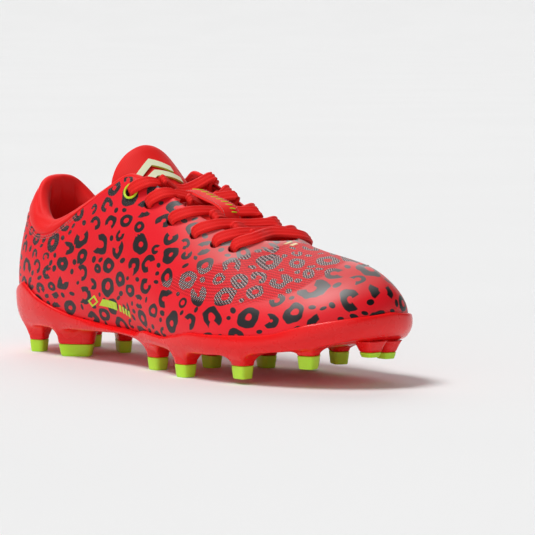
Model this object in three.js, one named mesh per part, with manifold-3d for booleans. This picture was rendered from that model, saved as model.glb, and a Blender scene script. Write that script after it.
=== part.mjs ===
// A soccer cleat for the right foot: a moulded plate with two-colour studs, a lasted upper and its inner
// layers, a padded collar, a tongue and a lace. Millimetres; +X to the toe, +Y to the medial side, +Z up.
// The studs stand on z = 0. Named sizes come first, then the shape of the last, then each piece.
import * as THREE from "three";
import { mergeVertices } from "three/addons/utils/BufferGeometryUtils.js";
import Module from "manifold-3d";

const wasm = await Module();
wasm.setup();

// ---- Driving dimensions ----
const GAP = 0.3; // clear space between touching pieces
const UPPER = 1.2; // thickness of the printed upper
const STIFFENER = 0.8; // heel counter, toe puff and eyestay reinforcement
const LINING = 0.8;
const FOAM = 4.2; // collar padding
const PLATE = 3.0; // outsole plate at the middle of the foot
const RIM = 1.4; // outsole wall where it ends on the upper
const BOARD = 1.4; // lasting board
const SOCKLINER = 3.2;
const INSOLE_INSET = 4.6; // from the feather edge to the edge of the board and the sockliner
const EYELET_MARGIN = 9.8; // from the throat edge to the middle of an eyelet
const EYELET_HOLE = 6.6;
const RING_OUTER = 7.6;
const LACE_WIDTH = 4.2;
const LACE_THICK = 1.4;
const TONGUE_THICK = 4.6;
const HINGE_X = -26; // the tongue folds here, just behind the top lace
const STUD_TIP = 6.4; // height of the lime part of a stud
const PEG = 2.6; // how far a tip reaches up into its stud
const PLATE_CLEARANCE = 0.6; // between the plate's wall and the upper
const PLATE_BULGE = 2.4; // how much the plate's side stands out below its rim
const PLATE_LIP = 3.2; // how far the plate's bottom edge stands out of the feather edge
const AGLET_RADIUS = 1.3;
const AGLET_LENGTH = 14;
const BAND_WIDTH = 12; // lace keeper
const BAND_THICK = 1;
const BAND_RISE = 3.6; // run in which the band climbs over the laces
const MIDDLE = new THREE.Vector3(0, -0.15, 0); // bottom centre of the whole shoe, in the frame of the last

const RED = 0xee3030;
const PRINT_RED = 0xf2404a;
const LIME = 0xa8d455;

// ---- The last: fourteen stations from the back of the heel to the tip of the toe ----
const VAMP = 9; // station where the throat ends
const TOE = 13; // last station
const LOOP = 2 * TOE; // a walk round the shoe: out along the lateral side, back along the medial side
// Feather edge, where the upper turns under the foot.
const FOOT_LATERAL = [
  [-132.5, 0], [-120, -20], [-98, -26.5], [-70, -27.5], [-38, -28], [-21, -29], [-4, -32],
  [26, -38.5], [58, -40.5], [84, -36.5], [105, -29], [119, -19], [128.5, -6], [132, 8],
];
const FOOT_MEDIAL = [
  [-132.5, 0], [-120, 19], [-99, 25], [-72, 25], [-42, 23], [-22, 23], [-6, 25.5],
  [26, 36], [58, 40], [84, 39.5], [106, 36.5], [120, 30], [129, 20.5], [132, 8],
];
// Topline and throat edge up to the vamp, then the ridge of the toe box.
const TOP = [
  [-117, 0, 95.6], [-116.5, -13.5, 91.5], [-96, -25.5, 73], [-72, -27.5, 77.5], [-40, -25, 93],
  [-28, -21.5, 99.4], [-13, -19.8, 94.6], [22, -18, 79], [54, -14, 69.3], [70, 3, 68.3],
  [84, 5, 64.6], [96, 6.5, 62.2], [107, 7.5, 60.2], [115, 8.5, 58.2],
];
const TOP_MIDDLE = [0, -1, -1.5, -1, 0, 0, 0, 1, 2, 3, 5, 6.5, 7.5, 8.5]; // y of the middle line
// How a rib leaves the feather edge (out, up) and how it meets the top (out, down).
const LEAVE = [
  [8, 20], [8, 19], [8, 14], [8, 14], [9, 15], [10, 16], [11, 16], [10, 13], [10, 12], [9, 12],
  [10, 12], [11, 13], [11, 14], [10, 15],
];
const MEET = [
  [11, 20], [9, 22], [8, 20], [9, 24], [12, 30], [15, 27], [16, 24], [19, 13], [19, 5], [20, 2],
  [17, 1], [15, 0.5], [13, 0], [12, 0],
];
// Where the fourth row of the wall lies: the seam of the collar panel, then the edge of the eyestay.
const SEAM = [0.7, 0.72, 0.86, 0.91, 0.88, 0.86, 0.85, 0.8, 0.78, 0.78, 0.78, 0.78, 0.78, 0.78];
// Underside of the plate (x, z): heel, arch, ball, toe spring.
const UNDERSIDE = [[-140, 16], [-100, 15], [-60, 15.5], [-30, 16.5], [0, 14.5], [30, 13], [55, 13.2],
  [80, 15], [100, 17.5], [118, 21], [130, 24.5], [140, 28]];
// Height of the outsole's rim at each station, lateral and medial.
const RIM_HEIGHT_LATERAL = [31, 38, 33, 26.5, 21, 20.5, 20, 21, 24, 27, 30.5, 33.5, 36, 37];
const RIM_HEIGHT_MEDIAL = [31, 38, 33, 26.5, 22, 21.5, 21, 21.5, 24, 27, 30.5, 33.5, 36, 37];

// Studs: name, middle of the tip, length, width, turn in degrees, height of the tip's end above the ground.
const STUDS = [
  ["heel_lateral_rear", -110, -18.5, 9, 8, 20, 0],
  ["heel_lateral_front", -78, -18, 19, 8, 38, 0],
  ["heel_medial_rear", -110, 18.5, 9, 8, -20, 0],
  ["heel_medial_front", -79, 14.5, 19, 8, -30, 0],
  ["arch_lateral", -1, -25.5, 8.5, 8.5, 0, 0],
  ["ball_lateral_rear", 33, -35.5, 9.5, 9, 0, 0],
  ["ball_lateral_front", 74, -33.5, 9.5, 9, 0, 2.6],
  ["toe_lateral", 107, -20, 9.5, 9, 15, 9.2],
  ["ball_centre", 10, 1, 10, 8.5, 0, 0],
  ["ball_medial_rear", 27, 23, 14, 8.5, -20, 0],
  ["ball_medial_middle", 50, 32, 15, 8.5, -20, 2],
  ["ball_medial_front", 75, 29.5, 11, 8.5, -20, 5.3],
  ["toe_medial", 120.5, 18.5, 9, 8, 0, 12.6],
  ["toe_tip", 124.5, 4.5, 8.5, 9, 0, 14.6],
];

// Eyelets from the bottom of the throat to the top, as stations along it.
const EYELETS = [8.02, 7.64, 7.2, 6.7, 6.18, 5.5];

// ---- Small helpers ----
const v = (x, y, z) => new THREE.Vector3(x, y, z);
const UP = v(0, 0, 1);

function material(color, roughness, metalness = 0) {
  return new THREE.MeshStandardMaterial({ color, roughness, metalness });
}

// A straight-line reading of (x, value) pairs.
function along(pairs, x) {
  const next = pairs.findIndex((pair) => pair[0] >= x);
  if (next <= 0) return next === 0 ? pairs[0][1] : pairs[pairs.length - 1][1];
  const [x0, a] = pairs[next - 1];
  const [x1, b] = pairs[next];
  return a + ((b - a) * (x - x0)) / (x1 - x0);
}

function atStation(values, p) {
  return along(values.map((value, index) => [index, value]), p);
}

function underside(x) {
  return along(UNDERSIDE, x);
}

function featherHeight(x) {
  return underside(x) + PLATE + 0.5;
}

function geometryOf(points, triangles) {
  const geometry = new THREE.BufferGeometry();
  const numbers = points.flatMap((q) => [q.x, q.y, q.z]);
  geometry.setAttribute("position", new THREE.Float32BufferAttribute(numbers, 3));
  geometry.setIndex(triangles);
  return geometry;
}

function solid(geometry) {
  const bare = geometry.clone();
  bare.deleteAttribute("normal");
  bare.deleteAttribute("uv");
  const merged = mergeVertices(bare, 1e-4);
  const mesh = new wasm.Mesh({
    numProp: 3,
    vertProperties: new Float32Array(merged.attributes.position.array),
    triVerts: new Uint32Array(merged.index.array),
  });
  mesh.merge();
  return new wasm.Manifold(mesh);
}

function fromSolid(manifold) {
  const mesh = manifold.getMesh();
  const geometry = new THREE.BufferGeometry();
  geometry.setAttribute("position", new THREE.BufferAttribute(mesh.vertProperties, 3));
  geometry.setIndex(new THREE.BufferAttribute(mesh.triVerts, 1));
  return geometry;
}

function placedCylinder(middle, direction, radius, height, sides) {
  const cylinder = new THREE.CylinderGeometry(radius, radius, height, sides);
  cylinder.applyQuaternion(new THREE.Quaternion().setFromUnitVectors(v(0, 1, 0), direction));
  cylinder.translate(middle.x, middle.y, middle.z);
  return cylinder;
}

// ---- The surface of the last ----
const isMedial = (s) => s > TOE;
const stationOf = (s) => (isMedial(s) ? LOOP - s : s);
const walk = [...Array(LOOP).keys()];

function footPoint(s) {
  const [x, y] = (isMedial(s) ? FOOT_MEDIAL : FOOT_LATERAL)[stationOf(s)];
  return v(x, y, featherHeight(x));
}

function topPoint(s) {
  const p = stationOf(s);
  const [x, y, z] = TOP[p];
  return v(x, isMedial(s) ? 2 * TOP_MIDDLE[p] - y : y, z);
}

// Level direction that leaves the foot at right angles to its outline.
function outward(s) {
  const before = footPoint((s + LOOP - 1) % LOOP);
  const after = footPoint((s + 1) % LOOP);
  return v(before.y - after.y, after.x - before.x, 0).normalize().negate();
}

function closedCurve(points) {
  return new THREE.CatmullRomCurve3(points, true, "catmullrom", 0.5);
}

const footCurve = closedCurve(walk.map(footPoint));
const leaveCurve = closedCurve(walk.map((s) => {
  const [out, up] = LEAVE[stationOf(s)];
  return footPoint(s).addScaledVector(outward(s), out).addScaledVector(UP, up);
}));
const meetCurve = closedCurve(walk.map((s) => {
  const [out, down] = MEET[stationOf(s)];
  return topPoint(s).addScaledVector(outward(s), out).addScaledVector(UP, -down);
}));
const openingWalk = walk.filter((s) => stationOf(s) <= VAMP && s !== LOOP - VAMP);
const openingCurve = closedCurve(openingWalk.map(topPoint));
const ridgeCurve = new THREE.CatmullRomCurve3(
  walk.slice(VAMP, TOE + 1).map(topPoint), false, "catmullrom", 0.5,
);

function topEdge(s) {
  const p = stationOf(s);
  if (p > VAMP) return ridgeCurve.getPoint((p - VAMP) / (TOE - VAMP));
  const step = isMedial(s) ? (2 * VAMP - p) % (2 * VAMP) : p;
  return openingCurve.getPoint(step / (2 * VAMP));
}

// A point of the last: s walks round the shoe, u climbs from the feather edge to the top.
function lastPoint(s, u) {
  const turn = (s % LOOP) / LOOP;
  const rib = new THREE.CubicBezierCurve3(
    footCurve.getPoint(turn), leaveCurve.getPoint(turn), meetCurve.getPoint(turn), topEdge(s % LOOP),
  );
  return rib.getPoint(u);
}

function lastNormal(s, u) {
  const h = 0.01;
  const aroundStep = lastPoint((s + h) % LOOP, u).sub(lastPoint((s + LOOP - h) % LOOP, u));
  const upStep = lastPoint(s, Math.min(1, u + h)).sub(lastPoint(s, Math.max(0, u - h)));
  return aroundStep.cross(upStep).normalize();
}

// ---- The wall grid: every wall layer is cut from the same columns and rows, so layers stay parallel ----
const COLUMNS = 2 * LOOP;
const ROWS = 6;
const SEAM_ROW = 4;
const TOE_COLUMN = 2 * TOE;
const VAMP_COLUMN = 2 * VAMP;

function rowHeight(p, row) {
  const seam = atStation(SEAM, p);
  if (row <= SEAM_ROW) return (seam * row) / SEAM_ROW;
  return seam + ((1 - seam) * (row - SEAM_ROW)) / (ROWS - SEAM_ROW);
}

// The two sides share the ridge, so the medial ridge points take the lateral numbers.
function gridIndex(column, row) {
  const wrapped = (column + COLUMNS) % COLUMNS;
  const shared = row === ROWS && wrapped > TOE_COLUMN && wrapped <= COLUMNS - VAMP_COLUMN;
  return (shared ? COLUMNS - wrapped : wrapped) * (ROWS + 1) + row;
}

const gridPoints = [];
for (let column = 0; column < COLUMNS; column++) {
  for (let row = 0; row <= ROWS; row++) {
    const s = column / 2;
    gridPoints.push(lastPoint(s, rowHeight(stationOf(s), row)));
  }
}

function cellCorners(column, row) {
  const corners = [[0, 0], [1, 0], [1, 1], [0, 1]];
  return corners.map(([across, up]) => gridIndex(column + across, row + up));
}

const gridNormals = gridPoints.map(() => v(0, 0, 0));
for (let column = 0; column < COLUMNS; column++) {
  for (let row = 0; row < ROWS; row++) {
    const corners = cellCorners(column, row);
    const [a, b, c, d] = corners.map((index) => gridPoints[index]);
    const across = c.clone().sub(a).cross(d.clone().sub(b));
    corners.forEach((index) => gridNormals[index].add(across));
  }
}
gridNormals.forEach((normal) => normal.normalize());

// A wall layer: the chosen cells between two offsets from the last. An inset draws its edges in a little.
function wallLayer(chosen, outerOffset, innerOffset, inset = 0) {
  const cells = [];
  for (let column = 0; column < COLUMNS; column++) {
    const p = stationOf((column + 0.5) / 2);
    for (let row = 0; row < ROWS; row++) {
      if (chosen(p, row, isMedial((column + 0.5) / 2))) cells.push(cellCorners(column, row));
    }
  }
  const faces = cells.flatMap(([a, b, c, d]) => [[a, b, c], [a, c, d]]);
  const directed = new Set(faces.flatMap((f) => f.map((a, k) => `${a}_${f[(k + 1) % 3]}`)));
  const border = faces.flatMap((f) => f.map((a, k) => [a, f[(k + 1) % 3]]))
    .filter(([a, b]) => !directed.has(`${b}_${a}`));
  const used = [...new Set(faces.flat())];
  const place = new Map(used.map((index, order) => [index, order]));
  const moved = new Map(used.map((index) => [index, gridPoints[index].clone()]));
  for (const index of inset > 0 ? new Set(border.flat()) : []) {
    const around = cells.filter((cell) => cell.includes(index));
    const middle = v(0, 0, 0);
    around.flat().forEach((corner) => middle.addScaledVector(gridPoints[corner], 1 / around.length / 4));
    moved.get(index).addScaledVector(middle.sub(gridPoints[index]).normalize(), inset);
  }
  const shifted = (offset) => used.map((index) => {
    return moved.get(index).clone().addScaledVector(gridNormals[index], offset);
  });
  const points = [...shifted(outerOffset), ...shifted(innerOffset)];
  const inner = (index) => place.get(index) + used.length;
  const triangles = [];
  for (const [a, b, c] of faces) {
    triangles.push(place.get(a), place.get(b), place.get(c), inner(c), inner(b), inner(a));
  }
  for (const [a, b] of border) {
    triangles.push(place.get(b), place.get(a), inner(a), place.get(b), inner(a), inner(b));
  }
  return geometryOf(points, triangles);
}

// ---- Eyelets ----
function eyelet(medial, station) {
  const s = medial ? LOOP - station : station;
  const edge = topEdge(s);
  let u = 1;
  while (lastPoint(s, u).distanceTo(edge) < EYELET_MARGIN) u -= 0.002;
  const at = lastPoint(s, u);
  return { s, edge, at, normal: lastNormal(s, u), inwards: edge.clone().sub(at).normalize() };
}

const eyelets = [false, true].map((medial) => EYELETS.map((station) => eyelet(medial, station)));
const allEyelets = eyelets.flat();

function withEyeletHoles(geometry) {
  let piece = solid(geometry);
  for (const { at, normal } of allEyelets) {
    piece = piece.subtract(solid(placedCylinder(at, normal, EYELET_HOLE / 2, 12, 10)));
  }
  return fromSolid(piece);
}

// ---- Wall pieces ----
const COLLAR_END = 3.5; // the collar panel runs round the heel to this station
const inCollar = (p, row) => p < COLLAR_END && row >= SEAM_ROW;
const STIFF_OUT = -UPPER - GAP;
const STIFF_IN = STIFF_OUT - STIFFENER;
const LINING_OUT = STIFF_IN - GAP;
const LINING_IN = LINING_OUT - LINING;

function upperShell() {
  return withEyeletHoles(wallLayer((p, row) => !inCollar(p, row), 0, -UPPER));
}

function collarPanel() {
  return wallLayer(inCollar, 0, -UPPER, GAP);
}

function collarFoam() {
  return wallLayer(inCollar, STIFF_OUT, STIFF_OUT - FOAM, GAP);
}

function collarLining() {
  return wallLayer(inCollar, STIFF_OUT - FOAM - GAP, STIFF_OUT - FOAM - GAP - LINING, GAP);
}

function heelLining() {
  return wallLayer((p, row) => p < COLLAR_END && row < SEAM_ROW, LINING_OUT, LINING_IN, GAP);
}

function heelCounter() {
  return wallLayer((p, row) => p < 2.5 && row < SEAM_ROW - 1, STIFF_OUT, STIFF_IN);
}

function toePuff() {
  return wallLayer((p, row) => p > 10 && row < SEAM_ROW - 1, STIFF_OUT, STIFF_IN);
}

function vampLining() {
  return withEyeletHoles(wallLayer((p) => p > COLLAR_END, LINING_OUT, LINING_IN, GAP));
}

function eyestayReinforcement(wantMedial) {
  const strip = (p, row, medial) => medial === wantMedial && p > 5 && p < VAMP - 0.5 && row >= SEAM_ROW;
  return withEyeletHoles(wallLayer(strip, STIFF_OUT, STIFF_IN));
}

// ---- Sole pieces: each is lofted from a spine along the foot out to the feather edge ----
const SPINE_SHRINK = 0.8; // how far the spine reaches towards heel and toe
const HALFWAY = 0.55; // share of the way from the spine to the edge where each rib has a point between
const SIDE_SHARE = 0.5; // share of the rim's height where the plate's side has a point

function spinePoint(p) {
  const lateral = footCurve.getPoint(p / LOOP);
  const medial = footCurve.getPoint(((LOOP - p) % LOOP) / LOOP);
  return v(((lateral.x + medial.x) / 2) * SPINE_SHRINK, (lateral.y + medial.y) / 2, 0);
}

// profile(s) lists the points of one rib from the spine's upper side round the edge to its underside.
function soleLoft(profile) {
  const ribs = [];
  for (let column = 0; column < COLUMNS; column++) ribs.push(profile(column / 2));
  const rows = ribs[0].length;
  const ends = (row) => row === 0 || row === rows - 1;
  const index = (column, row) => {
    const wrapped = column % COLUMNS;
    const shared = ends(row) && wrapped > TOE_COLUMN ? COLUMNS - wrapped : wrapped;
    return shared * rows + row;
  };
  const triangles = [];
  const add = (a, b, c) => {
    if (a !== b && b !== c && c !== a) triangles.push(a, b, c);
  };
  for (let column = 0; column < COLUMNS; column++) {
    for (let row = 0; row + 1 < rows; row++) {
      const a = index(column, row);
      const b = index(column + 1, row);
      const c = index(column + 1, row + 1);
      const d = index(column, row + 1);
      add(a, c, b);
      add(a, d, c);
    }
  }
  return geometryOf(ribs.flat(), triangles);
}

function heightOnLast(s, wanted) {
  let u = 0;
  while (lastPoint(s, u).z < wanted && u < 0.9) u += 0.004;
  return u;
}

function edgeInwards(s, inset) {
  const turn = s / LOOP;
  const edge = footCurve.getPoint(turn);
  const tangent = footCurve.getTangent(turn);
  return edge.addScaledVector(v(-tangent.y, tangent.x, 0).normalize(), inset);
}

function flatPad(inset, bottomAbove, topAbove) {
  return soleLoft((s) => {
    const spine = spinePoint(stationOf(s));
    const edge = edgeInwards(s, inset);
    const levels = (above) => [spine, spine.clone().lerp(edge, HALFWAY), edge]
      .map((q) => v(q.x, q.y, featherHeight(q.x) + above));
    return [...levels(topAbove), ...levels(bottomAbove).reverse()];
  });
}

function lastingBoard() {
  return flatPad(INSOLE_INSET, 0, BOARD);
}

function sockliner() {
  return flatPad(INSOLE_INSET, BOARD + GAP, BOARD + GAP + SOCKLINER);
}

function plateBody() {
  return soleLoft((s) => {
    const p = stationOf(s);
    const spine = spinePoint(p);
    const rimHeight = atStation(isMedial(s) ? RIM_HEIGHT_MEDIAL : RIM_HEIGHT_LATERAL, p);
    const u = heightOnLast(s, rimHeight);
    const wall = (part, offset) => lastPoint(s, u * part).addScaledVector(lastNormal(s, u * part), offset);
    const corner = edgeInwards(s, GAP - 1.1);
    const boardEdge = edgeInwards(s, INSOLE_INSET);
    const halfway = spine.clone().lerp(boardEdge, HALFWAY);
    const onTop = (q) => v(q.x, q.y, featherHeight(q.x) - 1);
    const below = (q) => v(q.x, q.y, underside(q.x));
    const lip = edgeInwards(s, -PLATE_LIP);
    return [
      onTop(spine), onTop(halfway), onTop(boardEdge), v(corner.x, corner.y, corner.z - 1),
      wall(SIDE_SHARE, PLATE_CLEARANCE), wall(1, PLATE_CLEARANCE), wall(1, PLATE_CLEARANCE + RIM),
      wall(SIDE_SHARE, PLATE_CLEARANCE + PLATE_BULGE), v(lip.x, lip.y, underside(lip.x) + 2),
      below(edgeInwards(s, 1)), below(halfway), below(spine),
    ];
  });
}

// ---- Studs ----
const STUD_SIDES = 8;
const STUD_CORNER = 0.42; // radius of a stud's corners, as a share of its shorter side
const PEG_SCALE = 0.5;
const SOCKET_SCALE = 0.58;

// A loft between rounded rectangles; levels are [z, scale].
function studLoft([, x, y, length, width, turn], levels) {
  const sides = STUD_SIDES;
  const corner = Math.min(length, width) * STUD_CORNER;
  const ring = ([z, scale]) => [...Array(sides).keys()].map((k) => {
    const angle = ((k + 0.5) / sides) * 2 * Math.PI;
    const cx = Math.sign(Math.cos(angle)) * (length / 2 - corner) + Math.cos(angle) * corner;
    const cy = Math.sign(Math.sin(angle)) * (width / 2 - corner) + Math.sin(angle) * corner;
    return v(cx * scale, cy * scale, 0).applyAxisAngle(UP, THREE.MathUtils.degToRad(turn)).add(v(x, y, z));
  });
  const points = levels.flatMap(ring);
  const triangles = [];
  for (let level = 0; level + 1 < levels.length; level++) {
    for (let k = 0; k < sides; k++) {
      const a = level * sides + k;
      const b = level * sides + ((k + 1) % sides);
      triangles.push(a, b, b + sides, a, b + sides, a + sides);
    }
  }
  const last = (levels.length - 1) * sides;
  for (let k = 1; k + 1 < sides; k++) {
    triangles.push(0, k + 1, k, last, last + k, last + k + 1);
  }
  return geometryOf(points, triangles);
}

function studBase(stud) {
  const ground = stud[6];
  const rearEnd = stud[1] - 0.75 * stud[3];
  const root = underside(rearEnd) + PLATE / 2;
  const seat = ground + STUD_TIP + GAP;
  return studLoft(stud, [[seat, 1], [(seat + root) / 2, 1.1], [root, 1.45]]);
}

function studSocket(stud) {
  const seat = stud[6] + STUD_TIP;
  return studLoft(stud, [[seat - 1, SOCKET_SCALE], [seat + PEG + 2 * GAP, SOCKET_SCALE]]);
}

function studTip(stud) {
  const ground = stud[6];
  const seat = ground + STUD_TIP;
  return studLoft(stud, [[ground, 0.8], [seat, 0.98], [seat, PEG_SCALE], [seat + PEG, PEG_SCALE]]);
}

function outsolePlate() {
  let plate = solid(plateBody());
  STUDS.forEach((stud) => {
    plate = plate.add(solid(studBase(stud)));
  });
  STUDS.forEach((stud) => {
    plate = plate.subtract(solid(studSocket(stud)));
  });
  return fromSolid(plate);
}

// ---- Tongue ----
// Middle line of the tongue's face (x, z), from under the vamp to its top; how fast it falls to the sides; and
// half its width.
const TONGUE_LINE = [[79, 58], [60, 64], [36, 72], [7, 84], [-13, 95], [-30, 104], [-46, 112]];
const TONGUE_FALL = [[-46, 0.055], [-26, 0.0505], [-13, 0.0445], [7, 0.031], [22, 0.025], [50, 0.0225],
  [79, 0.027]];
const TONGUE_HALF_WIDTH = [[-30, 19], [-5, 20], [10, 24], [60, 24], [79, 16]];
const TONGUE_ROUND = [-29, 17.8]; // where the rounded end starts, and how long it is

const tonguePoints = TONGUE_LINE.map(([x, z]) => v(x, 0, z));
const tongueCurve = new THREE.CatmullRomCurve3(tonguePoints, false, "catmullrom", 0.5);

function tongueTurnAt(x) {
  let turn = 0;
  while (tongueCurve.getPoint(turn).x > x && turn < 1) turn += 0.002;
  return turn;
}

function tongueFace(turn, across) {
  const middle = tongueCurve.getPoint(turn);
  const [roundFrom, roundLength] = TONGUE_ROUND;
  const intoRound = Math.max(0, roundFrom - middle.x) / roundLength;
  const y = across * along(TONGUE_HALF_WIDTH, middle.x) * Math.sqrt(1 - intoRound ** 2);
  const fall = along(TONGUE_FALL, middle.x);
  return v(middle.x, y, middle.z - fall * y * y);
}

// A stretch of the tongue, lofted across its width.
function tonguePad(fromX, toX, topDepth, bottomDepth, steps) {
  const start = tongueTurnAt(fromX);
  const end = tongueTurnAt(toX);
  const across = [-1, -0.75, -0.45, 0, 0.45, 0.75, 1];
  const points = [];
  for (let k = 0; k <= steps; k++) {
    const turn = start + ((end - start) * k) / steps;
    const normal = v(0, 1, 0).cross(tongueCurve.getTangent(turn));
    const thin = (t) => (Math.abs(t) === 1 ? 0.45 : 1);
    const face = (t, depth) => tongueFace(turn, t).addScaledVector(normal, -depth);
    const middleDepth = (topDepth + bottomDepth) / 2;
    const depthAt = (t, depth) => middleDepth + (depth - middleDepth) * thin(t);
    points.push(...across.map((t) => face(t, depthAt(t, topDepth))));
    points.push(...[...across].reverse().map((t) => face(t, depthAt(t, bottomDepth))));
  }
  const ring = across.length * 2;
  const triangles = [];
  for (let k = 0; k < steps; k++) {
    for (let j = 0; j < ring; j++) {
      const a = k * ring + j;
      const b = k * ring + ((j + 1) % ring);
      triangles.push(a, b, b + ring, a, b + ring, a + ring);
    }
  }
  for (let j = 0; j + 1 < across.length; j++) {
    const low = ring - 1 - j;
    const far = steps * ring;
    triangles.push(j, low - 1, j + 1, j, low, low - 1);
    triangles.push(far + j, far + j + 1, far + low - 1, far + j, far + low - 1, far + low);
  }
  return geometryOf(points, triangles);
}

const SKIN = 0.9; // face and lining of the tongue
const SKIN_GAP = 0.6; // between those and its foam, measured at the middle line
const FOLD_GAP = 2.4; // between the two lengths of the tongue, so that the upper one can fold

function tongueLayers(fromX, toX, steps) {
  const foamTop = SKIN + SKIN_GAP;
  const foamBottom = TONGUE_THICK - SKIN - SKIN_GAP;
  return [
    tonguePad(fromX, toX, 0, SKIN, steps),
    tonguePad(fromX, toX, foamTop, foamBottom, steps),
    tonguePad(fromX, toX, TONGUE_THICK - SKIN, TONGUE_THICK, steps),
  ];
}

// A small raised badge of three slanting bars on the tongue's face.
function tongueEmblem() {
  const turn = tongueTurnAt(-36);
  const middle = tongueFace(turn, 0);
  const tangent = tongueCurve.getTangent(turn);
  const normal = v(0, 1, 0).cross(tangent);
  const corners = [[-7, -4], [3, -4], [7, 4], [-3, 4]];
  const outline = new THREE.Shape(corners.map(([a, b]) => new THREE.Vector2(a, b)));
  const badge = new THREE.ExtrudeGeometry(outline, { depth: 0.8, bevelEnabled: false });
  badge.applyMatrix4(new THREE.Matrix4().makeBasis(v(0, 1, 0), tangent, normal));
  const lift = GAP + 0.1;
  return badge.translate(middle.x + normal.x * lift, middle.y, middle.z + normal.z * lift);
}

// ---- Lace ----
const THROAT_SLOPE = v(1, 0, -0.42); // direction of the throat, along which the lace lies flat

// A flat cord swept along a path; its width lies as nearly as it can along the throat.
function flatCord(path, width, thick, step) {
  const count = Math.round(path.getLength() / step);
  const corners = [[-1, 0], [-0.7, 1], [0.7, 1], [1, 0], [0.7, -1], [-0.7, -1]];
  const points = [];
  for (let k = 0; k <= count; k++) {
    const middle = path.getPointAt(k / count);
    const tangent = path.getTangentAt(k / count);
    const wide = THROAT_SLOPE.clone().addScaledVector(tangent, -THROAT_SLOPE.dot(tangent)).normalize();
    const deep = tangent.clone().cross(wide);
    for (const [a, b] of corners) {
      const corner = middle.clone().addScaledVector(wide, (a * width) / 2);
      points.push(corner.addScaledVector(deep, (b * thick) / 2));
    }
  }
  const sides = corners.length;
  const triangles = [];
  for (let k = 0; k < count; k++) {
    for (let j = 0; j < sides; j++) {
      const a = k * sides + j;
      const b = k * sides + ((j + 1) % sides);
      triangles.push(a, b + sides, b, a, a + sides, b + sides);
    }
  }
  const last = count * sides;
  for (let j = 1; j + 1 < sides; j++) {
    triangles.push(0, j, j + 1, last, last + j + 1, last + j);
  }
  return geometryOf(points, triangles);
}

function tongueHeight(x, y) {
  const turn = tongueTurnAt(x);
  return tongueCurve.getPoint(turn).z - along(TONGUE_FALL, x) * y * y;
}

const UNDER = -LINING_IN + 1.7; // depth of the lace under the eyestay
const ABOVE = 1.8; // height of the lace over the upper

// A point beside an eyelet or its throat edge: so far inwards along the upper, and so far out of it.
function beside(base, { normal, inwards }, inward, out) {
  return base.clone().addScaledVector(inwards, inward).addScaledVector(normal, out);
}

// Up through an eyelet and over the eyestay to the throat edge.
function outOf(hole) {
  return [
    beside(hole.at, hole, 0.2, -UNDER),
    beside(hole.at, hole, -0.4, -1.6),
    beside(hole.at, hole, 0.9, ABOVE),
    beside(hole.edge, hole, -0.6, 2.4),
  ];
}

// Down inside the throat, under its edge and along to below an eyelet.
function under(hole) {
  return [
    beside(hole.edge, hole, 5, -0.6),
    beside(hole.edge, hole, 2.4, -UNDER + 0.4),
    beside(hole.edge, hole, -3, -UNDER - 0.5),
  ];
}

// The height that clears the tongue and both throat edges.
function crownHeight(x) {
  const edge = eyelets[0].map(({ edge }) => [edge.x, edge.z]).sort((a, b) => a[0] - b[0]);
  return Math.max(tongueHeight(x, 0), along(edge, x));
}

const LOW_LIFT = 1.4; // of a strand over the crown, on its way from the medial side
const HIGH_LIFT = 3.6; // and of the strand that lies over it
const TUCK = [[5.6, 0.8, 1.4], [5.3, 0.62, 2.4], [5.1, 0.45, 3.2]]; // station, height, room to the lining
const BAR = v(55.8, 2, 70.6); // middle of the straight strand at the bottom

// Half of the lace, up from the bar: under the edge at each eyelet, over the tongue and into the next across.
function laceHalf(startMedial) {
  const points = [];
  let medial = startMedial;
  for (let k = 0; k < EYELETS.length - 1; k++) {
    const lower = eyelets[+medial][k];
    const upper = eyelets[+!medial][k + 1];
    const x = (lower.edge.x + upper.edge.x) / 2;
    const y = (lower.edge.y + upper.edge.y) / 2;
    const crown = v(x, y, crownHeight(x) + (medial ? HIGH_LIFT : LOW_LIFT));
    points.push(...outOf(lower).reverse(), ...under(lower).reverse(), crown);
    medial = !medial;
  }
  points.push(...outOf(eyelets[+medial][EYELETS.length - 1]).reverse());
  TUCK.forEach(([station, height, room]) => {
    const s = medial ? LOOP - station : station;
    points.push(lastPoint(s, height).addScaledVector(lastNormal(s, height), LINING_IN - room));
  });
  return points;
}

const lacePath = new THREE.CatmullRomCurve3(
  [...laceHalf(false).reverse(), BAR, ...laceHalf(true)],
  false,
  "centripetal",
);

function lace() {
  return flatCord(lacePath, LACE_WIDTH, LACE_THICK, 4.6);
}

// The stiff tag on an end of the lace.
function aglet(atStart) {
  const end = lacePath.getPointAt(atStart ? 0 : 1);
  const direction = lacePath.getTangentAt(atStart ? 0 : 1).multiplyScalar(atStart ? -1 : 1);
  end.addScaledVector(direction, AGLET_LENGTH / 2 + GAP);
  return placedCylinder(end, direction, AGLET_RADIUS, AGLET_LENGTH, 8);
}

// The band on the tongue that the lace runs under.
const KEEPER_FROM = -7.2;
const KEEPER_TO = 28.8;

function laceKeeper() {
  const seated = (x) => new THREE.Vector2(x, tongueHeight(x, 0) + 2 * GAP);
  const lifted = (x) => new THREE.Vector2(x, crownHeight(x) + HIGH_LIFT + LACE_THICK + GAP);
  const below = [seated(KEEPER_FROM), lifted(KEEPER_FROM + BAND_RISE), lifted((KEEPER_FROM + KEEPER_TO) / 2),
    lifted(KEEPER_TO - BAND_RISE), seated(KEEPER_TO)];
  const over = below.map((q) => new THREE.Vector2(q.x, q.y + BAND_THICK)).reverse();
  const outline = new THREE.Shape([...below, ...over]);
  const band = new THREE.ExtrudeGeometry(outline, { depth: BAND_WIDTH, bevelEnabled: false });
  band.rotateX(Math.PI / 2);
  return band.translate(0, BAND_WIDTH / 2, 0);
}

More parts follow.
